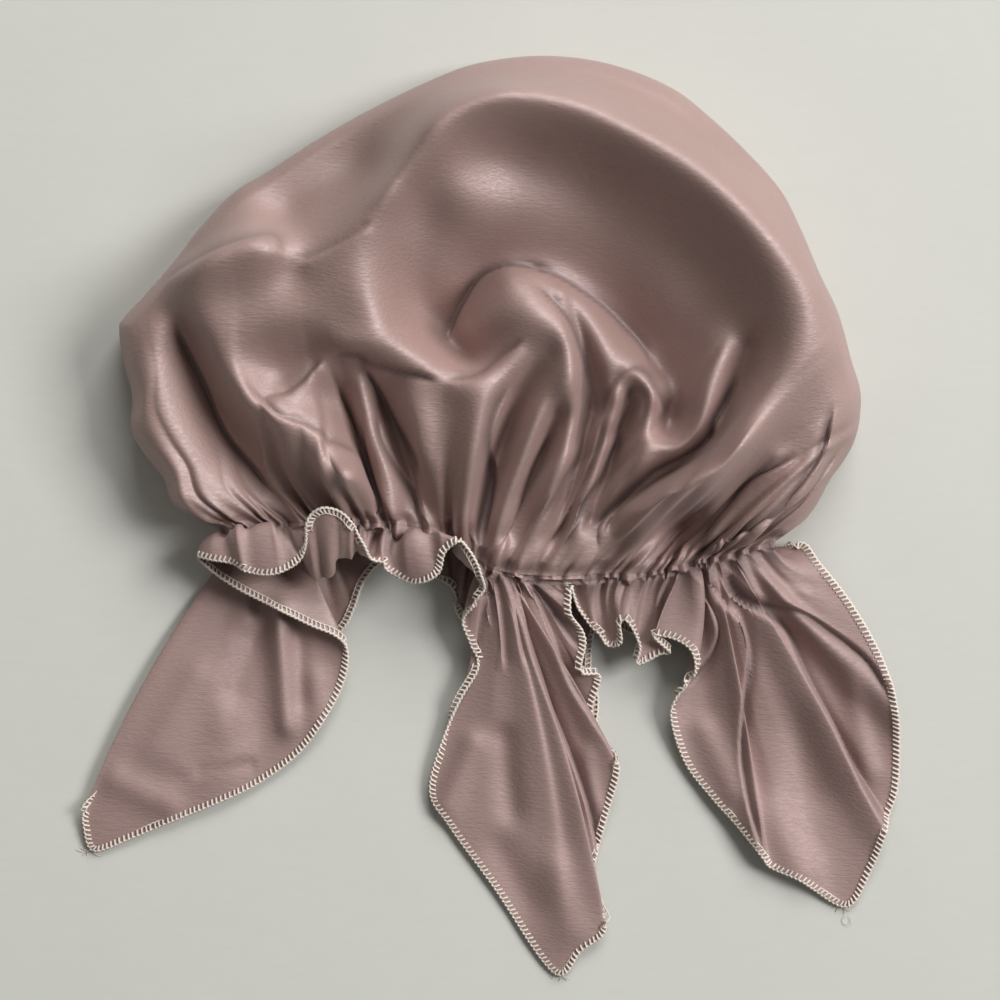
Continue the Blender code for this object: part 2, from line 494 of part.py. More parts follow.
def make_crown_back(material):
    """The back lies flat on the table, from the rolled edge to the mouth line."""
    border = crown_border(crown_patch())
    reach = ROLL_BACK + RIM_FLAT + BACK_GAP
    edge = border + rim_directions(border) * reach
    share = reach / mouth_length
    seam = mouth_at(np.linspace(1 - share, share, CROWN_GRID[0])) + (0.0, BACK_GAP)
    ring = np.concatenate([edge[1:-1], seam])
    count = len(ring)
    vertices = [(x, y, z) for z in (0.0, CROWN_WALL) for x, y in ring]
    around = [(k, (k + 1) % count) for k in range(count)]
    faces = [tuple(range(count)), tuple(range(count, 2 * count))]
    faces += [(a, b, b + count, a + count) for a, b in around]
    mesh = bpy.data.meshes.new("crown_back")
    mesh.from_pydata(vertices, [], faces)
    return add_object("crown_back", mesh, material)


# ---------------------------------------------------------------- frill
def frill_surface():
    """Ribs from the seam to the hem.  Each rib runs straight over the elastic, and then as one
    parabola (a quadratic Bezier curve) through its bend to its hem point.  Ribs between the named
    ones come from smooth curves carried through all the bends and through all the hem points."""
    left_x, right_x = MOUTH_LINE[0][0], MOUTH_LINE[-1][0]
    turns, bends, hems = [], [], []
    for _name, side, seam_x, bend, hem in FRILL_RIBS:
        share = (seam_x - left_x) / (right_x - left_x)
        turns.append(1 - share if side == "front" else 1 + share)
        bends.append(bend)
        hems.append(hem)
    turns = np.unwrap(np.array(turns), period=2.0)
    ribs, steps = FRILL_GRID
    wanted = np.linspace(0, len(turns), ribs, endpoint=False)
    turn = np.interp(wanted, np.arange(len(turns) + 1), np.r_[turns, turns[0] + 2.0])
    lines = np.stack([place(bends), place(hems)], 1)
    smooth = catmull_rom(lines, RIB_STEPS, closed=True)
    picked = np.clip(np.round(wanted * RIB_STEPS).astype(int), 0, len(smooth) - 1)
    bend, hem = smooth[picked, 0], smooth[picked, 1]
    seam_inset = FRILL_WALL / 2 + SEAM_CLEARANCE
    seam = mouth_ring(turn, seam_inset, -PIECE_GAP)
    collar = mouth_ring(turn, seam_inset, -PIECE_GAP - COLLAR)
    reach_bend = np.linalg.norm(bend - collar, axis=1, keepdims=True)
    reach_hem = np.linalg.norm(hem - bend, axis=1, keepdims=True)
    at = reach_bend / (reach_bend + reach_hem)
    pull = (bend - (1 - at) ** 2 * collar - at ** 2 * hem) / (2 * at * (1 - at))
    t = np.linspace(0, 1, SWEEP_STEPS)[:, None, None]
    sweep = (1 - t) ** 2 * collar + 2 * t * (1 - t) * pull + t ** 2 * hem
    even = np.linspace(0, 1, steps - 1)
    free = np.array([by_length(sweep[:, rib])(even) for rib in range(ribs)])
    return np.concatenate([seam[:, None], free], 1)


def make_frill(material):
    """Ruffle and four corner tails: one strip of cloth all round the mouth."""
    grid = frill_surface()
    ribs, steps = grid.shape[:2]
    index = np.arange(ribs * steps).reshape(ribs, steps)
    index = np.concatenate([index, index[:1]])
    mesh = bpy.data.meshes.new("frill")
    mesh.from_pydata(grid.reshape(-1, 3).tolist(), [], grid_faces(index)[:, ::-1].tolist())
    return finish_cloth("frill", mesh, material, FRILL_WALL, 0.0)


# ---------------------------------------------------------------- elastic
def make_elastic(material):
    """Flat band sewn inside the seam: a rectangle carried round the flattened ring."""
    turn = np.linspace(0, 2, ELASTIC_STEPS, endpoint=False)
    near = CROWN_WALL + ELASTIC_GAP
    far = near + ELASTIC_THICK
    half = ELASTIC_WIDTH / 2
    corners = [mouth_ring(turn, inset, shift)
               for inset, shift in ((near, half), (near, -half), (far, -half), (far, half))]
    ring = np.stack(corners, 1)
    index = np.arange(ELASTIC_STEPS * 4).reshape(ELASTIC_STEPS, 4)
    index = np.concatenate([index, index[:1]])
    index = np.concatenate([index, index[:, :1]], 1)
    mesh = bpy.data.meshes.new("elastic_band")
    mesh.from_pydata(ring.reshape(-1, 3).tolist(), [], grid_faces(index).tolist())
    return add_object("elastic_band", mesh, material)


# ---------------------------------------------------------------- objects
def new_material(name, colour, roughness):
    material = bpy.data.materials.new(name)
    material.use_nodes = True
    shader = material.node_tree.nodes["Principled BSDF"]
    shader.inputs["Base Color"].default_value = (*colour, 1.0)
    shader.inputs["Roughness"].default_value = roughness
    shader.inputs["Metallic"].default_value = 0.0
    return material


def add_object(name, mesh, material):
    """Object with faces turned outwards and smooth shading."""
    shell = bmesh.new()
    shell.from_mesh(mesh)
    bmesh.ops.recalc_face_normals(shell, faces=shell.faces)
    shell.to_mesh(mesh)
    shell.free()
    mesh.materials.append(material)
    mesh.shade_smooth()
    piece = bpy.data.objects.new(name, mesh)
    bpy.context.scene.collection.objects.link(piece)
    return piece


def finish_cloth(name, mesh, material, wall, offset):
    """The cloth gets its wall from Solidify, which also closes its open edges."""
    piece = add_object(name, mesh, material)
    solid = piece.modifiers.new("wall", "SOLIDIFY")
    solid.thickness = wall
    solid.offset = offset
    solid.use_rim = True
    return piece


for old in list(bpy.data.objects):
    bpy.data.objects.remove(old)

satin = new_material("dusty rose satin", (0.43, 0.31, 0.29), 0.35)
woven_elastic = new_material("woven elastic", (0.80, 0.76, 0.72), 0.75)

make_crown_front(satin)
make_crown_back(satin)
make_frill(satin)
make_elastic(woven_elastic)
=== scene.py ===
# %% [markdown]
# # A satin sleep bonnet, seen from above
# The bonnet is one square of satin.  An elastic sewn on in a circle gathers it: the inside of the
# circle puffs out as the crown, and the outside makes a ruffle with a long tail at each corner.
# The solids in the frame are the plain, thick version of it.  This script replaces them by fine
# cloth with every fold, stitches its edge, and lights it.

# %% The frame and its box
import bpy
import numpy as np
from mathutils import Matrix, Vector


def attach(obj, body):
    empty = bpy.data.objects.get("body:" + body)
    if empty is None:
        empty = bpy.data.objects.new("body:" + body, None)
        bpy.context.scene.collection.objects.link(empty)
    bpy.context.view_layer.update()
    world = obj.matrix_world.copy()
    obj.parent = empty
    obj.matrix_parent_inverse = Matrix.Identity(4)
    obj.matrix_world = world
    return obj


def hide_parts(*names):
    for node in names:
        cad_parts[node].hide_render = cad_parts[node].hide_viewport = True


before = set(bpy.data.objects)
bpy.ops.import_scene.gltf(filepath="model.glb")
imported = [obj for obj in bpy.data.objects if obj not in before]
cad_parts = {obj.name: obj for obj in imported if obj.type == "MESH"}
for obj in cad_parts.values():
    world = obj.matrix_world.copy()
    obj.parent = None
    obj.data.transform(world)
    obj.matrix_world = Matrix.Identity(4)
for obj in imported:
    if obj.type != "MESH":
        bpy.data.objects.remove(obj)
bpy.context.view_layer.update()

# %% [markdown]
# ## Where the eye is
# The bonnet lies on a table and is looked at from straight above.  Plan places below are given in
# the pixels of that view, and one real size, the side of the cloth square, turns them to metres.
# A point that is raised over the table looks further from the middle of the view than it is, so
# every place is drawn back in by its height over the eye's height.

# %% Sizes, and places from the view
MM = 0.001
SQUARE_SIDE = 0.680
SQUARE_SIDE_SEEN = 1545.0
SEEN_FROM = 1.20
SEEN_MIDDLE = (500.0, 500.0)
ORIGIN_SEEN = (491.0, 517.0)
VIEW_PIXELS = 1000
METRES_PER_PIXEL = SQUARE_SIDE / SQUARE_SIDE_SEEN


def place(seen):
    """Metres from seen (x, y, height in mm): plan offset from the view's middle times
    (1 - height / eye height), then times metres per pixel."""
    seen = np.asarray(seen, float)
    height = seen[..., 2] * MM
    shrink = 1.0 - height / SEEN_FROM
    across = (seen[..., 0] - SEEN_MIDDLE[0]) * shrink + SEEN_MIDDLE[0] - ORIGIN_SEEN[0]
    down = (seen[..., 1] - SEEN_MIDDLE[1]) * shrink + SEEN_MIDDLE[1] - ORIGIN_SEEN[1]
    return np.stack([across * METRES_PER_PIXEL, -down * METRES_PER_PIXEL, height], -1)


def at_height(points, height):
    """Seen (x, y) points, all at one height in metres."""
    return place([(x, y, height / MM) for x, y in points])


def seen(points):
    """The other way round: pixels of the view from points in metres."""
    spread = 1.0 / (1.0 - points[..., 2] / SEEN_FROM)
    across = points[..., 0] / METRES_PER_PIXEL + ORIGIN_SEEN[0] - SEEN_MIDDLE[0]
    down = -points[..., 1] / METRES_PER_PIXEL + ORIGIN_SEEN[1] - SEEN_MIDDLE[1]
    return np.stack([across * spread + SEEN_MIDDLE[0], down * spread + SEEN_MIDDLE[1]], -1)


# %% The camera
lens = bpy.data.cameras.new("overhead")
lens.sensor_width = 36.0
lens.lens = lens.sensor_width * SEEN_FROM / (VIEW_PIXELS * METRES_PER_PIXEL)
lens.clip_end = 20.0
camera = bpy.data.objects.new("overhead", lens)
camera.location = (*place((*SEEN_MIDDLE, 0.0))[:2], SEEN_FROM)
bpy.context.scene.collection.objects.link(camera)
bpy.context.scene.camera = camera
print(f"lens {lens.lens:.0f} mm, {SEEN_FROM} m over the table")

# %% [markdown]
# ## Curves
# Every line of the bonnet is given by a few places, and a Catmull-Rom curve runs smoothly through
# them.  Two more helpers walk along a curve by its length, and measure how far points lie from it.

# %% Curve helpers
def catmull_rom(points, steps, closed=False):
    """Smooth curve through points: between b and c the blend
    (2b + (c-a)t + (2a-5b+4c-d)t^2 + (3b-a-3c+d)t^3) / 2, with a and d the outer neighbours."""
    points = np.asarray(points, float)
    if closed:
        ends = np.concatenate([points[-1:], points, points[:2]])
    else:
        ends = np.concatenate([[2 * points[0] - points[1]], points,
                               [2 * points[-1] - points[-2]]])
    t = (np.arange(steps) / steps).reshape((1, -1) + (1,) * (points.ndim - 1))
    a, b, c, d = (ends[k:len(ends) - 3 + k, None] for k in range(4))
    spans = 0.5 * (2 * b + (c - a) * t + (2 * a - 5 * b + 4 * c - d) * t ** 2
                   + (3 * b - a - 3 * c + d) * t ** 3)
    curve = spans.reshape((-1,) + points.shape[1:])
    return curve if closed else np.concatenate([curve, points[-1:]])


def by_length(curve):
    """Function from 0..1 to points of a curve, even by length."""
    length = np.r_[0.0, np.cumsum(np.linalg.norm(np.diff(curve, axis=0), axis=1))]
    share = length / length[-1]
    return lambda q: np.stack([np.interp(q, share, column) for column in curve.T], -1)


def length_of(curve):
    return float(np.linalg.norm(np.diff(curve, axis=0), axis=-1).sum())


CURVE_STEPS = 24         # steps of a smooth curve between two of its given points


def resample(points, spacing):
    """The smooth curve through points, with a point at every spacing along it."""
    curve = catmull_rom(points, CURVE_STEPS)
    return by_length(curve)(np.linspace(0, 1, max(2, round(length_of(curve) / spacing) + 1)))


def plan_distance(points, line):
    """Shortest plan distance from each point to a polyline: for each stretch of it, the foot of
    the perpendicular clamped to the stretch."""
    best = np.full(len(points), np.inf)
    for start, end in zip(line[:-1], line[1:]):
        run = end - start
        t = np.clip(((points - start) @ run) / (run @ run), 0, 1)[:, None]
        best = np.minimum(best, np.linalg.norm(points - start - t * run, axis=1))
    return best


def quarter_round(distance, width):
    """0 at distance 0, rising as a quarter circle to 1 at width."""
    t = np.clip(distance / width, 0, 1)
    return np.sqrt(1 - (1 - t) ** 2)


def smooth_step(t):
    t = np.clip(t, 0, 1)
    return t * t * (3 - 2 * t)


# %% [markdown]
# ## The outline and the mouth
# Two lines fix the bonnet's plan: the silhouette of the crown, and the line where the elastic is
# sewn.  The elastic's circle is pressed into a long flat ring, with a front and a back.

# %% Outline and mouth
OUTLINE = (  # x, y: the crown's silhouette from the mouth's left end round to its right end
    (217, 527), (176, 507), (164, 479), (146, 456), (132, 430), (133, 397), (125, 364),
    (120, 331), (125, 318), (151, 290), (179, 257), (200, 229), (235, 193), (268, 173),
    (319, 140), (370, 111), (432, 81), (480, 64), (544, 57), (608, 65), (669, 88),
    (710, 119), (750, 157), (781, 193), (800, 230), (819, 275), (837, 313), (850, 359),
    (860, 398), (853, 443), (830, 479), (815, 506), (797, 526), (776, 541),
)

MOUTH_LINE = (  # x, y: where the elastic is sewn, left to right
    (217, 527), (235, 528), (300, 522), (370, 522), (439, 532), (488, 566), (520, 574),
    (560, 576), (600, 574), (650, 572), (690, 562), (723, 556), (776, 541),
)

MOUTH_HEIGHT = 20.0 * MM     # of the flattened mouth's upper layer over the table
MOUTH_HALF = 0.5 * MOUTH_HEIGHT
ROLL_FRONT = 9.0 * MM        # width of the roll at the outline, on the front and on the back
ROLL_BACK = 8.0 * MM
PLAN_SPACING = 2 * MM        # between the points of the two lines

outline = resample(at_height(OUTLINE, MOUTH_HALF), PLAN_SPACING)[:, :2]
mouth_line = resample(at_height(MOUTH_LINE, MOUTH_HEIGHT), PLAN_SPACING)[:, :2]
mouth_line[0], mouth_line[-1] = outline[0], outline[-1]
mouth_at = by_length(mouth_line)
mouth_length = length_of(mouth_line)
print(f"mouth {mouth_length * 1000:.0f} mm wide, outline {length_of(outline) * 1000:.0f} mm long")


def mouth_ring(turn, inset=0.0, shift=0.0):
    """Point of the flattened ring.  turn runs 0..1 along the front from right to left, 1..2 along
    the back to the right again.  Its height over the middle is half the mouth times a quarter
    round of the distance to the ring's end; inset moves it into the mouth."""
    turn = np.asarray(turn, float) % 2.0
    front = turn <= 1.0
    along = np.where(front, 1 - turn, turn - 1)
    flat = mouth_at(along)
    to_end = np.minimum(along, 1 - along) * mouth_length
    width = np.where(front, ROLL_FRONT, ROLL_BACK)
    half = (MOUTH_HALF - inset) * quarter_round(np.maximum(to_end - inset, 0.0), width)
    end_shift = np.where(along < 0.5, 1.0, -1.0) * np.maximum(inset - to_end, 0.0)
    return np.stack([flat[..., 0] + end_shift, flat[..., 1] + shift,
                     MOUTH_HALF + np.where(front, half, -half)], -1)


# %% [markdown]
# ## The crown's folds
# Cloth hangs between its folds much as a tent does between its ridges.  So each ridge, valley and
# pleat is one row of a table, with its height along it, and one smooth surface is fitted through
# them all.  It is a sum of rounded cones, one for each point of a fold line.  A small softness
# gives a sharp pleat, and a large one a soft roll.

# %% The table of folds
CROWN_FOLDS = (  # name, softness of its crest in pixels, (x, y, height) along it
    ("left ridge", 9, ((172, 272, 44), (192, 259, 52), (215, 247, 60), (243, 240, 64),
                       (266, 241, 65), (281, 252, 62))),
    ("main ridge", 8, ((290, 269, 56), (317, 257, 60), (355, 229, 66), (393, 196, 72),
                       (414, 150, 76), (432, 119, 78), (470, 97, 79), (518, 88, 79),
                       (582, 101, 77), (633, 127, 76), (697, 162, 75), (748, 206, 74),
                       (783, 246, 72), (798, 284, 69), (798, 325, 65), (784, 365, 61),
                       (762, 395, 58))),
    ("crescent behind the ridge", 10,
     ((180, 270, 36), (215, 228, 38), (250, 215, 42), (290, 225, 44), (335, 205, 46),
      (372, 175, 46), (396, 135, 48), (425, 103, 48), (470, 82, 44), (530, 73, 42),
      (590, 82, 44), (650, 108, 46), (705, 140, 46), (757, 185, 46), (798, 235, 47),
      (826, 290, 48), (842, 345, 46))),
    ("bowl head", 20, ((470, 140, 67), (520, 130, 66), (590, 150, 63), (650, 190, 60),
                       (700, 235, 57), (735, 285, 54))),
    ("bowl slope", 16, ((428, 175, 67), (450, 186, 62), (475, 205, 55))),
    ("bowl floor", 20, ((520, 205, 48), (565, 225, 41), (610, 258, 35), (645, 300, 31),
                        (680, 345, 28))),
    ("bowl right", 20, ((650, 250, 43), (700, 300, 42), (715, 330, 40))),
    ("pocket rim", 8, ((408, 185, 68), (393, 215, 64), (378, 245, 62), (374, 270, 60),
                       (377, 297, 58), (393, 331, 54), (416, 354, 50), (440, 368, 48))),
    ("pocket wall", 12, ((430, 225, 49), (412, 265, 42), (408, 300, 35), (420, 325, 29))),
    ("pocket floor", 9, ((452, 250, 41), (446, 285, 31), (440, 316, 20), (452, 338, 20),
                         (470, 352, 24))),
    ("valley round the nose", 5, ((562, 273, 33), (545, 264, 34), (526, 259, 34),
                                  (504, 260, 33), (483, 271, 30), (466, 292, 26),
                                  (453, 314, 21))),
    ("nose face", 7, ((506, 276, 45), (490, 292, 43), (477, 314, 39), (470, 340, 32))),
    ("nose crest", 7, ((523, 284, 51), (534, 303, 54), (540, 322, 55), (542, 342, 53))),
    ("nose right side", 6, ((520, 274, 44), (543, 283, 45), (557, 298, 46), (570, 321, 46),
                            (577, 345, 45), (582, 375, 42), (581, 410, 38))),
    ("lip over the pleats", 6, ((336, 350, 50), (363, 352, 52), (393, 360, 50),
                                (420, 370, 49), (444, 378, 48), (483, 372, 48),
                                (505, 361, 49), (524, 346, 51))),
    ("left bulge", 20, ((215, 290, 58), (250, 280, 60), (290, 292, 55), (325, 290, 60),
                        (345, 300, 60))),
    ("bulge foot", 18, ((235, 320, 55), (270, 335, 50), (310, 330, 52), (350, 330, 56))),
    ("hollow", 9, ((245, 360, 46), (268, 380, 39), (290, 372, 38), (312, 352, 42))),
    ("facet rim", 5, ((262, 398, 44), (280, 396, 44), (296, 388, 43), (312, 374, 43),
                      (326, 362, 43))),
    ("pleat 1", 8, ((168, 318, 42), (158, 351, 38), (162, 385, 36), (174, 415, 34),
                    (205, 462, 30), (250, 503, 25))),
    ("valley 1", 7, ((178, 322, 40), (188, 345, 33), (202, 377, 28), (220, 412, 24),
                     (243, 458, 20), (272, 498, 19))),
    ("pleat 2", 5, ((190, 314, 49), (205, 338, 47), (220, 361, 46), (253, 399, 47),
                    (289, 427, 48), (320, 446, 46), (346, 460, 41), (361, 474, 35),
                    (366, 508, 26))),
    ("face under pleat 2", 14, ((225, 395, 36), (265, 440, 32), (300, 480, 27),
                                (320, 505, 22))),
    ("facet", 12, ((315, 405, 40), (335, 430, 38))),
    ("valley 2", 5, ((338, 362, 40), (345, 390, 31), (354, 425, 26), (366, 470, 22),
                     (375, 508, 18))),
    ("pleat 3", 6, ((356, 378, 37), (362, 410, 33), (370, 440, 31), (381, 465, 29),
                    (387, 510, 24))),
    ("valley 3", 6, ((366, 366, 38), (380, 400, 30), (397, 440, 24), (415, 475, 21),
                     (430, 508, 19))),
    ("panel left", 5, ((402, 378, 44), (407, 410, 39), (420, 448, 33), (433, 485, 28),
                       (446, 520, 22))),
    ("panel", 14, ((445, 400, 45), (451, 440, 39), (458, 480, 34), (462, 515, 27))),
    ("panel right crest", 6, ((523, 350, 51), (507, 372, 49), (495, 396, 48),
                              (485, 434, 44), (476, 480, 38), (469, 525, 29))),
    ("valley 4", 6, ((536, 368, 43), (525, 390, 38), (510, 420, 31), (497, 455, 25),
                     (487, 495, 20), (479, 535, 17))),
    ("nose pleat a", 6, ((554, 352, 50), (553, 382, 48), (543, 414, 44), (524, 459, 38),
                         (504, 510, 30), (491, 545, 24))),
    ("valley 5", 6, ((558, 410, 39), (548, 438, 34), (528, 488, 27), (506, 535, 20))),
    ("nose pleat b", 7, ((577, 425, 38), (567, 465, 35), (550, 508, 30), (526, 545, 24))),
    ("nose groove", 6, ((562, 292, 45), (574, 318, 42), (584, 350, 37), (590, 385, 31),
                        (590, 415, 27), (584, 445, 24), (570, 495, 20), (550, 540, 18))),
    ("small pleat", 6, ((574, 302, 41), (588, 334, 39), (601, 379, 35), (607, 408, 32))),
    ("valley 6", 6, ((562, 273, 33), (588, 290, 29), (622, 319, 25), (645, 346, 23),
                     (657, 372, 22))),
    ("arch top", 6, ((617, 379, 38), (630, 371, 41), (644, 376, 42), (655, 392, 41))),
    ("arch left leg", 6, ((620, 398, 40), (604, 439, 36), (590, 475, 32), (577, 508, 28),
                          (563, 545, 23))),
    ("arch valley", 5, ((632, 395, 32), (622, 428, 27), (606, 478, 23), (590, 522, 19))),
    ("arch right leg", 6, ((655, 402, 41), (643, 430, 39), (634, 456, 37), (620, 491, 32),
                           (606, 515, 28), (599, 545, 23))),
    ("pit", 9, ((690, 345, 31), (680, 385, 27), (668, 415, 23), (672, 432, 24))),
    ("swag crest", 6, ((733, 333, 44), (722, 363, 45), (708, 392, 45), (700, 425, 43),
                       (680, 450, 41), (655, 459, 39))),
    ("swag groove", 6, ((748, 345, 42), (738, 380, 38), (722, 425, 35), (700, 452, 32),
                        (672, 470, 29), (645, 488, 26), (620, 506, 23), (608, 525, 20))),
    ("right swag", 10, ((615, 532, 25), (628, 511, 36), (650, 491, 45), (680, 476, 50),
                        (710, 456, 53), (735, 426, 55), (762, 395, 58))),
    ("right shoulder", 16, ((830, 345, 56), (825, 385, 52), (790, 420, 51), (755, 455, 48),
                            (722, 490, 42))),
    ("swag hollow", 12, ((685, 505, 32), (660, 520, 29), (640, 545, 22))),
    ("right valley", 8, ((705, 540, 22), (725, 510, 29), (748, 485, 36), (775, 455, 44))),
    ("right face", 10, ((725, 530, 28), (765, 495, 38), (800, 455, 43))),
    ("right pleat", 5, ((720, 546, 26), (764, 523, 34), (805, 481, 40), (828, 437, 43),
                        (842, 402, 44))),
    ("right pleat foot", 5, ((745, 545, 21), (784, 524, 25), (820, 484, 30),
                             (842, 442, 34))),
)


# %% The surface through the folds
POINTS_AT_ONCE = 8000


def fit_relief(rows, spacing=3.4 * MM, closest=1.9 * MM, smoothing=0.5 * MM):
    """height(x, y) = base + sum of weight * -sqrt(distance^2 + softness^2) over the points of all
    fold lines, with the weights solved so that the surface passes through every fold."""
    lines = [resample(line, spacing) for line, _soft in rows]
    soft = np.concatenate([np.full(len(line), row[1]) for line, row in zip(lines, rows)])
    points = np.concatenate(lines)
    kept = []
    for spot in range(len(points)):
        apart = np.linalg.norm(points[kept, :2] - points[spot, :2], axis=1)
        if not kept or apart.min() > closest:
            kept.append(spot)
    spots, heights, soft = points[kept, :2], points[kept, 2], soft[kept]
    count = len(spots)
    cones = -np.sqrt(((spots[:, None] - spots[None]) ** 2).sum(-1) + soft ** 2)
    system = np.ones((count + 1, count + 1))
    system[:count, :count] = cones + smoothing * np.eye(count)
    system[count, count] = 0
    solved = np.linalg.solve(system, np.r_[heights, 0.0])
    print(f"{len(rows)} fold lines, {count} cones")

    def height(where):
        parts = []
        for block in np.array_split(where, max(1, len(where) // POINTS_AT_ONCE)):
            apart = ((block[:, None] - spots[None]) ** 2).sum(-1)
            parts.append(-np.sqrt(apart + soft ** 2) @ solved[:count] + solved[count])
        return np.concatenate(parts)
    return height


# %% [markdown]
# ## Tucks
# A fitted surface is smooth everywhere, but satin folds over itself: one layer rides over the
# next and ends in a crisp lip with a dark slot beside it.  Each tuck is a line in the view.  The
# cloth on the right-hand side of a walk along it is lifted to the lip, and the cloth on the other
# side is pressed down into the slot.

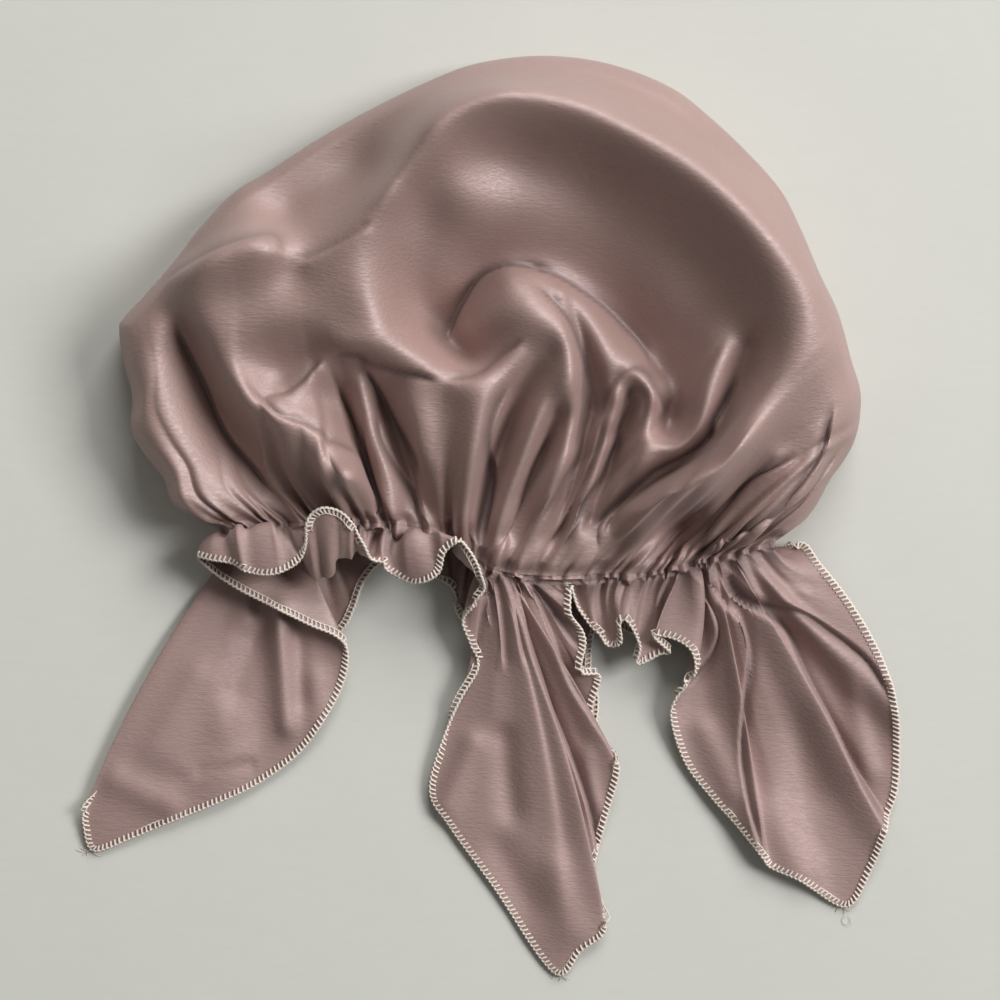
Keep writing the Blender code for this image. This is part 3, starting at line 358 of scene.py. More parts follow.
# %% The table of tucks
TUCKS = (  # cloth, rise and slot in mm, reach and lip in pixels, (x, y) along it
    # facet under the left hollow, and the lip over the pleats
    ("crown", 1.2, 1.6, 16, 4, ((262, 398), (275, 398), (290, 392), (305, 381), (312, 371),
                                (326, 359))),
    ("crown", 1.8, 2.6, 20, 4, ((440, 381), (423, 374), (399, 369), (386, 365), (373, 362),
                                (361, 354), (343, 352), (330, 356))),
    ("crown", 1.0, 2.0, 16, 5, ((440, 381), (464, 380), (481, 375), (499, 361), (516, 348),
                                (527, 340))),
    # the nose: its outline, its right edge and the fold beside it
    ("crown", 1.6, 3.0, 22, 4, ((447, 345), (453, 329), (464, 305), (481, 279), (499, 269),
                                (516, 266), (533, 269), (555, 277))),
    ("crown", 0.8, 2.4, 18, 4, ((512, 266), (533, 269), (555, 277), (577, 290), (599, 305),
                                (620, 324), (642, 348), (650, 372))),
    ("crown", 2.0, 3.6, 20, 4, ((520, 281), (535, 288), (553, 303), (566, 320), (574, 337),
                                (581, 361), (582, 387), (580, 413), (576, 439), (570, 465),
                                (557, 491), (542, 513), (527, 530))),
    ("crown", 0.6, 0.8, 10, 7, ((563, 294), (577, 325), (592, 362), (599, 388), (606, 412))),
    # the arch and the pit beside it
    ("crown", 1.2, 2.0, 9, 5, ((601, 424), (613, 390), (620, 379), (631, 370), (644, 374),
                               (656, 392), (662, 410), (663, 424))),
    ("crown", 0.6, 1.2, 8, 6, ((618, 452), (622, 428), (626, 405), (634, 392), (642, 396),
                               (642, 414), (632, 436))),
    # the swag: its crest, and the edge where it laps over the folds below
    ("crown", 1.8, 3.4, 20, 4, ((600, 552), (599, 533), (605, 520), (620, 504), (635, 489),
                                (657, 472), (685, 457), (709, 441), (715, 424), (728, 402),
                                (743, 370))),
    ("crown", 0.8, 0.8, 16, 9, ((640, 459), (670, 453), (694, 426), (705, 379), (729, 333))),
    # pleats under the nose
    ("crown", 1.6, 3.0, 12, 4, ((481, 544), (492, 498), (494, 468), (490, 440), (496, 414),
                                (511, 382))),
    ("crown", 0.9, 2.2, 9, 5, ((551, 429), (545, 440), (533, 463), (524, 488), (514, 511),
                               (503, 532), (494, 548))),
    ("crown", 1.2, 2.6, 10, 4, ((605, 413), (592, 457), (574, 500), (559, 526), (548, 545))),
    ("crown", 1.2, 2.6, 10, 4, ((620, 431), (605, 463), (587, 494), (574, 526), (557, 552))),
    # right side
    ("crown", 1.4, 3.0, 16, 4, ((700, 551), (715, 528), (735, 504), (752, 483), (776, 469),
                                (800, 455))),
    ("crown", 1.2, 2.6, 14, 4, ((703, 551), (729, 540), (756, 528), (780, 512), (803, 485),
                                (823, 453), (831, 422), (835, 400))),
    ("crown", 1.0, 2.2, 10, 4, ((733, 557), (754, 543), (774, 526), (801, 504), (825, 473),
                                (845, 443))),
    # left side
    ("crown", 1.0, 1.6, 14, 6, ((159, 287), (186, 267), (222, 248), (253, 238), (273, 237),
                                (282, 250), (288, 261))),
    ("crown", 0.8, 1.2, 14, 8, ((294, 264), (316, 256), (345, 242), (375, 222))),
    ("crown", 1.6, 3.0, 16, 4, ((279, 499), (259, 471), (232, 440), (218, 414), (206, 383),
                                (190, 352), (181, 334), (175, 316))),
    ("crown", 1.4, 2.0, 14, 4, ((243, 378), (260, 398), (277, 416), (304, 424), (330, 442),
                                (361, 465), (369, 502))),
    ("crown", 1.2, 2.4, 10, 4, ((326, 361), (336, 389), (351, 424), (361, 465), (375, 514))),
    ("crown", 1.4, 3.0, 12, 4, ((424, 480), (420, 457), (408, 440), (394, 416), (379, 387),
                                (363, 363))),
    ("crown", 1.0, 2.0, 9, 5, ((430, 523), (415, 492), (398, 466), (384, 440), (376, 410))),
    # centre tail: its middle crease, the fold beyond it, the soft valley and the fan of pleats
    ("front", 2.4, 2.2, 30, 4, ((499, 566), (512, 578), (521, 608), (530, 648), (545, 690),
                                (560, 729), (575, 768), (587, 806), (597, 850), (603, 900),
                                (605, 935))),
    ("front", 1.6, 1.0, 16, 4, ((506, 568), (526, 582), (545, 618), (568, 680), (590, 716),
                                (606, 740), (619, 767))),
    ("front", 1.2, 0.0, 26, 26, ((494, 576), (501, 640), (503, 700), (510, 780))),
    ("front", 0.9, 1.6, 12, 5, ((498, 566), (508, 586), (516, 620), (524, 668))),
    ("front", 0.9, 1.6, 12, 5, ((492, 566), (498, 590), (502, 630), (504, 672))),
    ("front", 0.7, 1.2, 9, 5, ((486, 564), (488, 590), (490, 628))),
    ("front", 0.8, 1.4, 12, 6, ((512, 566), (534, 586), (552, 612), (570, 640), (584, 652))),
    # right tail: its curl, the bright roll, the middle crease, the upper roll, and soft folds
    ("front", 1.8, 2.2, 14, 4, ((681, 560), (690, 570), (706, 598), (717, 628), (712, 652),
                                (698, 672), (680, 690))),
    ("front", 2.6, 2.4, 26, 4, ((697, 560), (710, 586), (726, 606), (742, 622), (749, 655),
                                (744, 696), (740, 750), (747, 800), (758, 842), (766, 866))),
    ("front", 2.2, 2.0, 30, 4, ((714, 560), (722, 581), (741, 602), (782, 627), (806, 676),
                                (835, 729), (860, 782), (886, 828), (894, 846))),
    ("front", 2.2, 1.8, 26, 5, ((902, 708), (892, 696), (868, 659), (827, 627), (794, 608),
                                (753, 598), (728, 576), (716, 560))),
    ("front", 0.8, 0.4, 18, 12, ((740, 552), (762, 574), (790, 586), (818, 590))),
    ("front", 1.0, 0.0, 30, 30, ((800, 700), (790, 760), (800, 820), (826, 880))),
    # left tail: the roll under the flap, and broad wrinkles
    ("left tail", 1.2, 0.0, 22, 22, ((290, 612), (280, 650), (282, 700), (296, 744))),
    ("left tail", 1.0, 0.0, 22, 22, ((262, 610), (240, 650), (228, 700), (226, 748))),
    ("left tail", 0.8, 0.0, 12, 12, ((262, 752), (236, 770), (200, 776), (168, 770))),
    ("left tail", 0.8, 0.0, 12, 12, ((150, 800), (180, 782), (222, 760), (262, 726))),
    ("left tail", 0.7, 0.0, 20, 20, ((236, 630), (205, 670), (168, 730), (140, 790))),
)
TUCK_STEP = 5.0          # pixels between samples of a tuck's line
SLOT_WIDTH = 6.5         # pixels, of the slot beside a crisp lip
TUCK_FADE = 0.16         # share of the line over which it grows and fades


def tuck_lift(where, rows):
    """Metres to add at seen points.  With s the signed distance to the line and over = smooth
    step of s / lip: fade * (rise * over * bell(s / reach) - slot * (1 - over) * bell(s / slot
    width))."""
    flat = where.reshape(-1, 2)
    lift = np.zeros(len(flat))
    for _cloth, rise, slot, reach, lip, line in rows:
        path = resample(line, TUCK_STEP)
        low, high = path.min(0) - 3 * reach, path.max(0) + 3 * reach
        near = np.flatnonzero(((flat > low) & (flat < high)).all(1))
        best, signed, share = (np.full(len(near), value) for value in (np.inf, 0.0, 0.0))
        for step, (start, end) in enumerate(zip(path[:-1], path[1:])):
            run, off = end - start, flat[near] - start
            t = np.clip(off @ run / (run @ run), 0, 1)
            apart = np.linalg.norm(off - t[:, None] * run, axis=1)
            closer = apart < best
            side = np.sign(run[0] * off[:, 1] - run[1] * off[:, 0])
            best = np.where(closer, apart, best)
            signed = np.where(closer, side * apart, signed)
            share = np.where(closer, (step + t) / (len(path) - 1), share)
        fade = smooth_step(share / TUCK_FADE) * smooth_step((1 - share) / TUCK_FADE)
        over = smooth_step(signed / lip + 0.5)
        crest = rise * over * np.exp(-(signed / reach) ** 2)
        gap = slot * (1 - over) * np.exp(-(signed / SLOT_WIDTH) ** 2)
        lift[near] += fade * (crest - gap) * MM
    return lift.reshape(where.shape[:-1])


# %% [markdown]
# ## Gathers
# The elastic draws nearly two metres of cloth into half a metre, so the cloth puckers along it.
# The puckers are one wavy function of the place along the ring, shared by the crown and the
# frill, so that they meet at the seam.  They are pinched at the stitches, deepest a centimetre
# away, and every second or third runs on further as a small pleat.

# %% The pucker wave
random = np.random.default_rng(7)
PUCKERS = 98             # fine puckers round the whole ring
PLEATS = 46              # longer ones
FINE_REACH = 7 * MM      # how far from the seam each kind runs, and how deep it is
FINE_DEPTH = 3.4 * MM
FINE_FALL = 1.6          # the power in its fading
FINE_WANDER = 1.6        # how much more its phase wanders than a pleat's
PLEAT_REACH = 24 * MM
PLEAT_DEPTH = 4.8 * MM
PLEAT_FALL = 1.7
PLEAT_SHIFT = 0.37       # along the ring, so that strong pleats and strong puckers don't coincide
CREST_POWER = 1.2        # of |cos|: more is a narrower crest
CREST_MEAN = 0.52        # what is taken off, so that crests and valleys balance
PINCH = 4 * MM           # distance over which a pucker grows to its full depth
PINCHED_SHARE = 0.75     # the share of its depth that it has at the seam
HELD_UP = 0.22           # share of the fine depth by which the cloth stands up at the seam
NOISE_KNOTS = 96
wander = np.cumsum(random.normal(0, 0.75, NOISE_KNOTS))
wander -= np.linspace(0, wander[-1], NOISE_KNOTS)
vigour = random.uniform(0.15, 1.45, NOISE_KNOTS)
stretch = random.uniform(0.35, 2.0, NOISE_KNOTS)


def around(values, turn):
    """Smooth closed noise: knot values blended along the ring."""
    knot = (np.asarray(turn) % 2.0) / 2.0 * NOISE_KNOTS
    low = np.floor(knot).astype(int) % NOISE_KNOTS
    blend = smooth_step(knot % 1.0)
    return values[low] * (1 - blend) + values[(low + 1) % NOISE_KNOTS] * blend


def crests(count, turn, phase):
    """Rounded crests and sharp valleys: |cos(pi * count * turn / 2 + phase)| ^ power - mean."""
    return np.abs(np.cos(np.pi * count * turn / 2 + phase)) ** CREST_POWER - CREST_MEAN


def puckers(turn, away):
    """Height of the gathers, two waves of crests with a wandering phase.  Both start shallow at
    the seam, grow over the pinch, and fade as exp(-(away / reach) ^ fall)."""
    phase = around(wander, turn)
    fine = crests(PUCKERS, turn, FINE_WANDER * phase)
    pleat = crests(PLEATS, turn, phase)
    grow = PINCHED_SHARE + (1 - PINCHED_SHARE) * smooth_step(away / PINCH)
    held = HELD_UP * np.exp(-(away / PINCH) ** 2)
    reach = around(stretch, turn)
    fine_fade = np.exp(-(away / (FINE_REACH * reach)) ** FINE_FALL)
    pleat_fade = np.exp(-(away / (PLEAT_REACH * reach)) ** PLEAT_FALL)
    fine_part = around(vigour, turn) * fine * fine_fade
    pleat_part = around(vigour, turn + PLEAT_SHIFT) * pleat * pleat_fade
    return grow * (FINE_DEPTH * (fine_part + held) + PLEAT_DEPTH * pleat_part)


print(f"{PUCKERS} puckers and {PLEATS} pleats round the ring")

# %% [markdown]
# ## Low folds on the tails
# The tails hang free of the elastic and look flat, yet satin shows the slightest swell as a broad
# soft highlight.  Each swell or hollow is a short line with a rounded bump along it, a few
# millimetres high, which is added to the height of the cloth.

# %% The table of low folds
LOW_FOLDS = (  # name, the two ends seen from above, width in pixels, height in mm
    ("left tail, pocket", (247, 640), (234, 690), 15, -3.0),
    ("left tail, ridge", (278, 612), (288, 725), 10, 3.2),
    ("left tail, hollow beside the ridge", (298, 632), (300, 700), 10, -2.2),
    ("left tail, swell by the hem", (316, 680), (322, 730), 14, 2.2),
    ("left tail, middle swell", (200, 680), (165, 750), 22, 2.6),
    ("left tail, crease", (200, 772), (250, 764), 5, -1.6),
    ("left tail, foot swell", (118, 780), (170, 806), 14, 2.4),
    ("centre tail, valley", (503, 738), (512, 812), 13, -3.0),
    ("centre tail, left swell", (446, 806), (472, 744), 13, 3.0),
    ("centre tail, foot swell", (556, 868), (576, 930), 18, 3.0),
    ("centre tail, foot hollow", (500, 850), (528, 905), 16, -2.0),
    ("centre tail, right panel", (586, 755), (594, 805), 10, 2.4),
    ("right tail, left swell", (704, 730), (730, 790), 14, 2.6),
    ("right tail, foot swell", (766, 815), (800, 872), 22, 3.6),
    ("right tail, hollow", (792, 730), (812, 790), 22, -2.4),
    ("right tail, upper panel", (850, 690), (868, 770), 12, 2.4),
)


def low_folds(spots):
    """The height at seen pixels: height * exp(-(distance / width)^2), added up over the rows."""
    total = np.zeros(spots.shape[:-1])
    for _name, start, end, width, height in LOW_FOLDS:
        first, span = np.array(start, float), np.subtract(end, start).astype(float)
        t = np.clip((spots[..., :2] - first) @ span / (span @ span), 0, 1)
        distance = np.linalg.norm(spots[..., :2] - first - t[..., None] * span, axis=-1)
        total += height * MM * np.exp(-(distance / width) ** 2)
    return total


print(f"{len(LOW_FOLDS)} low folds, {sum(row[4] > 0 for row in LOW_FOLDS)} of them swells")

# %% [markdown]
# ## Painted shade in the hollows
# Between real gathers, and in the slot beside a lap, the cloth is folded so tightly that hardly
# any light comes out again.  This mesh is not folded as deep, so each vertex also carries a number
# from 0 to 1 for how deep its place would lie, and this shade is painted into the satin's colour.

# %% How deep a place lies
SHADE_REACH = 8 * MM     # from the seam
SHADE_DEPTH = 3 * MM     # from a crest that is fully lit to a valley that is fully shaded
LEVEL_SHADE = 0.6        # at the middle height
SLOT_DEPTH = 2 * MM      # of a slot that is fully shaded
SLOT_SHADE = 0.8


def hollow_shade(away, lift, tucked):
    """exp(-(away / reach)^2) * (level shade - lift / depth), plus the slot's share beside a
    lap."""
    near = np.exp(-(away / SHADE_REACH) ** 2)
    deep = np.clip(LEVEL_SHADE - lift / SHADE_DEPTH, 0, 1)
    return np.clip(near * deep + SLOT_SHADE * np.clip(-tucked / SLOT_DEPTH, 0, 1), 0, 1)


# %% [markdown]
# ## From arrays to a mesh
# Every piece below is worked out as whole arrays of points, laid out as a grid.  Two helpers turn
# a grid into a mesh in one go, which is far quicker than adding vertices one by one, and a third
# finds which way the cloth faces.

# %% Mesh helpers
def grid_faces(index):
    """Quads of a grid of vertex numbers."""
    return np.stack([index[:-1, :-1], index[1:, :-1], index[1:, 1:], index[:-1, 1:]],
                    -1).reshape(-1, 4)


def add_mesh(name, vertices, quads, shade=None):
    """A new smooth-shaded object from arrays of points and quads, and if given a shade from 0 to
    1 for each vertex."""
    vertices = np.ascontiguousarray(vertices, dtype=np.float32)
    quads = np.ascontiguousarray(quads, dtype=np.int32)
    mesh = bpy.data.meshes.new(name)
    mesh.vertices.add(len(vertices))
    mesh.vertices.foreach_set("co", vertices.ravel())
    mesh.loops.add(quads.size)
    mesh.loops.foreach_set("vertex_index", quads.ravel())
    mesh.polygons.add(len(quads))
    mesh.polygons.foreach_set("loop_start", np.arange(0, quads.size, 4, dtype=np.int32))
    mesh.update(calc_edges=True)
    if shade is not None:
        shades = mesh.attributes.new("shade", "FLOAT", "POINT")
        shades.data.foreach_set("value", np.asarray(shade, np.float32).ravel())
    mesh.validate()
    mesh.shade_smooth()
    piece = bpy.data.objects.new(name, mesh)
    bpy.context.scene.collection.objects.link(piece)
    print(f"{name}: {len(vertices)} points, {2 * len(quads)} triangles")
    return piece


def grid_normals(grid):
    """Unit normals of a grid of points: the cross product of its two directions."""
    normal = np.cross(np.gradient(grid, axis=0), np.gradient(grid, axis=1))
    return normal / np.maximum(np.linalg.norm(normal, axis=-1, keepdims=True), 1e-12)


# %% [markdown]
# ## The crown
# The crown could be a ball of cloth dropped by a simulation, but its folds would then fall by
# chance.  Here it is a flat grid between the mouth line and the outline that is pushed up into
# the folds of the table, and it rolls under at the outline into the flat back.

# %% The crown's plan
CROWN_COLUMNS = 420
FRONT_ROWS = 190
BACK_ROWS = 46
LEFT_SHARE = 0.167       # the part of the outline that is the grid's left side, to the corner
RIGHT_SHARE = 0.12       # and its right side


def row_shares(rows, crowd_mouth, crowd_rim):
    """Shares of the way from the mouth to the rim, crowded towards one end or both."""
    return 1 - (1 - np.linspace(0, 1, rows) ** crowd_mouth) ** crowd_rim


front_shares = row_shares(FRONT_ROWS, crowd_mouth=1.15, crowd_rim=1.3)
back_shares = row_shares(BACK_ROWS, crowd_mouth=1.0, crowd_rim=2.2)


def crown_patch(v):
    """Plan grid between the mouth (rows 0) and the outline: the mean of the two ways across,
    less the blend of the four corners (a Coons patch)."""
    whole = by_length(outline)
    u = np.linspace(0, 1, CROWN_COLUMNS)
    low, high = mouth_at(u), whole(LEFT_SHARE + u * (1 - LEFT_SHARE - RIGHT_SHARE))
    left, right = whole(v * LEFT_SHARE), whole(1 - v * RIGHT_SHARE)
    across, along = u[:, None, None], v[None, :, None]
    corners = ((1 - across) * ((1 - along) * low[0] + along * high[0])
               + across * ((1 - along) * low[-1] + along * high[-1]))
    return ((1 - along) * low[:, None] + along * high[:, None]
            + (1 - across) * left[None] + across * right[None] - corners)


# %% The crown's relief
# Valleys between the pleats are drawn deeper, and pleat crests a little higher, than the table's
# heights, towards the middle of their length.
VALLEY_DEEPER = 4.0      # mm
PLEAT_HIGHER = 2.5       # mm
PLEATS_BELOW = 300       # the pixel row below which the pleats lie
CREST_SOFTER = 2.2
EDGE_LIFT = 30.0 * MM    # height of the cloth at the outline, before it is rolled under
EDGE_SOFT = 4 * MM
SEAM_SOFT = 2 * MM


def fold_line(name, line):
    """The fold's places, with its heights changed by offset * sin(pi * share of its length)."""
    places = np.array(line, float)
    share = np.linspace(0, 1, len(places))
    offset = -VALLEY_DEEPER * ("valley" in name or "groove" in name)
    offset += PLEAT_HIGHER * ("pleat " in name or "crest" in name or "panel" in name)
    places[:, 2] += offset * np.sin(np.pi * share) * (places[:, 1] > PLEATS_BELOW)
    return place(places)


def fold_softness(name, soft):
    """Crests of cloth are round and its valleys sharp, so all but the valleys are softened."""
    sharp = "valley" in name or "groove" in name
    return soft * METRES_PER_PIXEL * (1.0 if sharp else CREST_SOFTER)


fold_rows = [(fold_line(name, line), fold_softness(name, soft)) for name, soft, line in CROWN_FOLDS]
fold_rows.append((at_height(OUTLINE, MOUTH_HALF) + (0, 0, EDGE_LIFT - MOUTH_HALF), EDGE_SOFT))
fold_rows.append((at_height(MOUTH_LINE, MOUTH_HEIGHT), SEAM_SOFT))
relief = fit_relief(fold_rows)

# %% [markdown]
# Beside the seam the cloth is held by the stitches, so gathers can only rise.  Past it they stand
# out from the cloth's own face.  Where the cloth crosses the elastic it may not sink into it.

# %% How the seam holds the cloth
UPRIGHT = 7 * MM             # nearer the seam than this, gathers rise straight up
ELASTIC_HALF = 4.4 * MM      # half the width that the cloth must clear over the elastic
OVER_ELASTIC = 18.1 * MM     # lowest height of the cloth there


def lift_direction(normal, away):
    """Upwards near the seam, where the cloth is held, and along the normals past it."""
    share = smooth_step(away / UPRIGHT)[..., None]
    blend = normal * share + (1 - share) * np.array([0.0, 0.0, 1.0])
    return blend / np.linalg.norm(blend, axis=-1, keepdims=True)


def over_elastic(grid, rolled, lowest):
    """Points over the elastic are raised to at least the lowest height, less towards the
    rolled ends of the mouth."""
    plan = grid[..., :2].reshape(-1, 2)
    close = np.flatnonzero(plan_distance(plan, mouth_line[::4]) < 2 * ELASTIC_HALF)
    over = np.zeros(len(plan))
    over[close] = plan_distance(plan[close], mouth_line) < ELASTIC_HALF
    low = MOUTH_HALF + (lowest - MOUTH_HALF) * rolled
    grid[..., 2] = np.where(over.reshape(grid.shape[:2]) > 0, np.maximum(grid[..., 2], low),
                            grid[..., 2])
    return grid


# %% The crown's two layers
COLLAR = 1.0 * MM            # this far from the seam the cloth stays flat over the elastic
COLLAR_BLEND = 5.0 * MM      # and over this far it takes up the folds
SEAM_DIP = 0.6 * MM          # the stitches draw the cloth down
SEAM_DIP_WIDTH = 2.5 * MM
SWELL = 1.2 * MM             # how far the gathered crown puffs up beside the seam
SWELL_REACH = 9.0 * MM
LEAN = 0.55                  # how far the gathers lean to the right going up
LEAN_FROM = 0.3              # the share of the mouth where the lean starts
LEAN_OVER = 0.4              # and over which it grows


def crown_front():
    """Front layer: mouth height, blending to the folds past the collar, times the roll at the
    outline, plus a swell t * exp(1 - t) beside the seam, and the gathers along its normals."""
    patch = crown_patch(front_shares)
    flat = patch.reshape(-1, 2)
    away = plan_distance(flat, mouth_line)
    height = relief(flat)
    open_cloth = smooth_step((away - COLLAR) / COLLAR_BLEND)
    height = MOUTH_HEIGHT + (height - MOUTH_HEIGHT) * open_cloth
    rolled = quarter_round(plan_distance(flat, outline), ROLL_FRONT)
    height = MOUTH_HALF + (height - MOUTH_HALF) * rolled
    height -= SEAM_DIP * np.exp(-(away / SEAM_DIP_WIDTH) ** 2) * rolled
    puff = away / SWELL_REACH
    height += SWELL * puff * np.exp(1 - puff) * open_cloth * rolled
    grid = np.concatenate([patch, height.reshape(patch.shape[:2])[..., None]], -1)
    tucked = tuck_lift(seen(grid), [row for row in TUCKS if row[0] == "crown"])
    grid[..., 2] += tucked * open_cloth.reshape(patch.shape[:2])
    away = away.reshape(patch.shape[:2])
    across = np.linspace(0, 1, CROWN_COLUMNS)[:, None]
    lean = LEAN * smooth_step((across - LEAN_FROM) / LEAN_OVER) * away / mouth_length
    lift = puckers(1 - across + lean, away) * rolled.reshape(patch.shape[:2])
    grid = grid + lift_direction(grid_normals(grid), away) * lift[..., None]
    shade = hollow_shade(away, lift, tucked * open_cloth.reshape(patch.shape[:2]))
    return over_elastic(grid, rolled.reshape(patch.shape[:2]), OVER_ELASTIC), shade


def crown_back():
    """Back layer: flat on the table, rising at the outline as a quarter round."""
    patch = crown_patch(back_shares)
    flat = patch.reshape(-1, 2)
    edge = plan_distance(flat, outline)
    height = MOUTH_HALF * (1 - quarter_round(edge, ROLL_BACK))
    away = plan_distance(flat, mouth_line).reshape(patch.shape[:2])
    turn = 1 + np.linspace(0, 1, CROWN_COLUMNS)[:, None]
    lift = np.maximum(puckers(turn, away) + 0.5 * FINE_DEPTH, 0.0)
    lift = lift * np.exp(-(away / FINE_REACH) ** 2)
    grid = np.concatenate([patch, height.reshape(patch.shape[:2])[..., None]], -1)
    grid[..., 2] += lift * quarter_round(edge, ROLL_BACK).reshape(patch.shape[:2])
    return grid


front, front_shade = crown_front()
back = crown_back()
front_index = np.arange(front.size // 3).reshape(front.shape[:2])
back_index = np.arange(back.size // 3).reshape(back.shape[:2]) + front.size // 3
crown_cloth = add_mesh(
    "crown_cloth", np.concatenate([front.reshape(-1, 3), back.reshape(-1, 3)]),
    np.concatenate([grid_faces(front_index), grid_faces(back_index)[:, ::-1]]),
    shade=np.concatenate([front_shade.ravel(), np.zeros(back.size // 3)]))

# %% [markdown]
# The front and the back are two grids with different rows, so their outlines don't share points
# yet.  Along the top, one row of quads joins them.  Down each side, a zip of triangles does:
# it walks up both rims and always steps on the one that lags behind.

# %% Close the crown along its outline
import bmesh

EDGE_MERGE = 0.05 * MM


def zipped(rim_a, shares_a, rim_b, shares_b):
    """Triangles between two borders with different counts: the one that is behind steps on."""
    faces, i, j = [], 0, 0
    while i < len(rim_a) - 1 or j < len(rim_b) - 1:
        step_a = j == len(rim_b) - 1 or (i < len(rim_a) - 1 and shares_a[i + 1] <= shares_b[j + 1])
        ahead = rim_a[i + 1] if step_a else rim_b[j + 1]
        faces.append((rim_a[i], rim_b[j], ahead))
        i, j = (i + 1, j) if step_a else (i, j + 1)
    return faces


def stitch_rim(piece, rim_a, rim_b, more_faces):
    """Bridge two open borders with the same count of points by a strip of quads, and add the
    faces given."""
    shell = bmesh.new()
    shell.from_mesh(piece.data)
    shell.verts.ensure_lookup_table()
    strip = list(zip(rim_a[:-1], rim_a[1:], rim_b[1:], rim_b[:-1]))
    for face in strip + more_faces:
        shell.faces.new([shell.verts[int(k)] for k in face])
    bmesh.ops.remove_doubles(shell, verts=shell.verts, dist=EDGE_MERGE)
    bmesh.ops.recalc_face_normals(shell, faces=shell.faces)
    shell.to_mesh(piece.data)
    shell.free()
    piece.data.shade_smooth()


sides = []
for side in (0, -1):
    sides += zipped(front_index[side], front_shares, back_index[side], back_shares)
stitch_rim(crown_cloth, front_index[:, -1], back_index[:, -1], sides)

# %% [markdown]
# ## The frill
# Outside the elastic the cloth is a ring whose hem is the square's four sides.  It is made from
# ribs that run from the seam to the hem.  Crest ribs stand high and valley ribs low, so folds run
# down the tails along the ribs, and waves run along the ruffle across them.

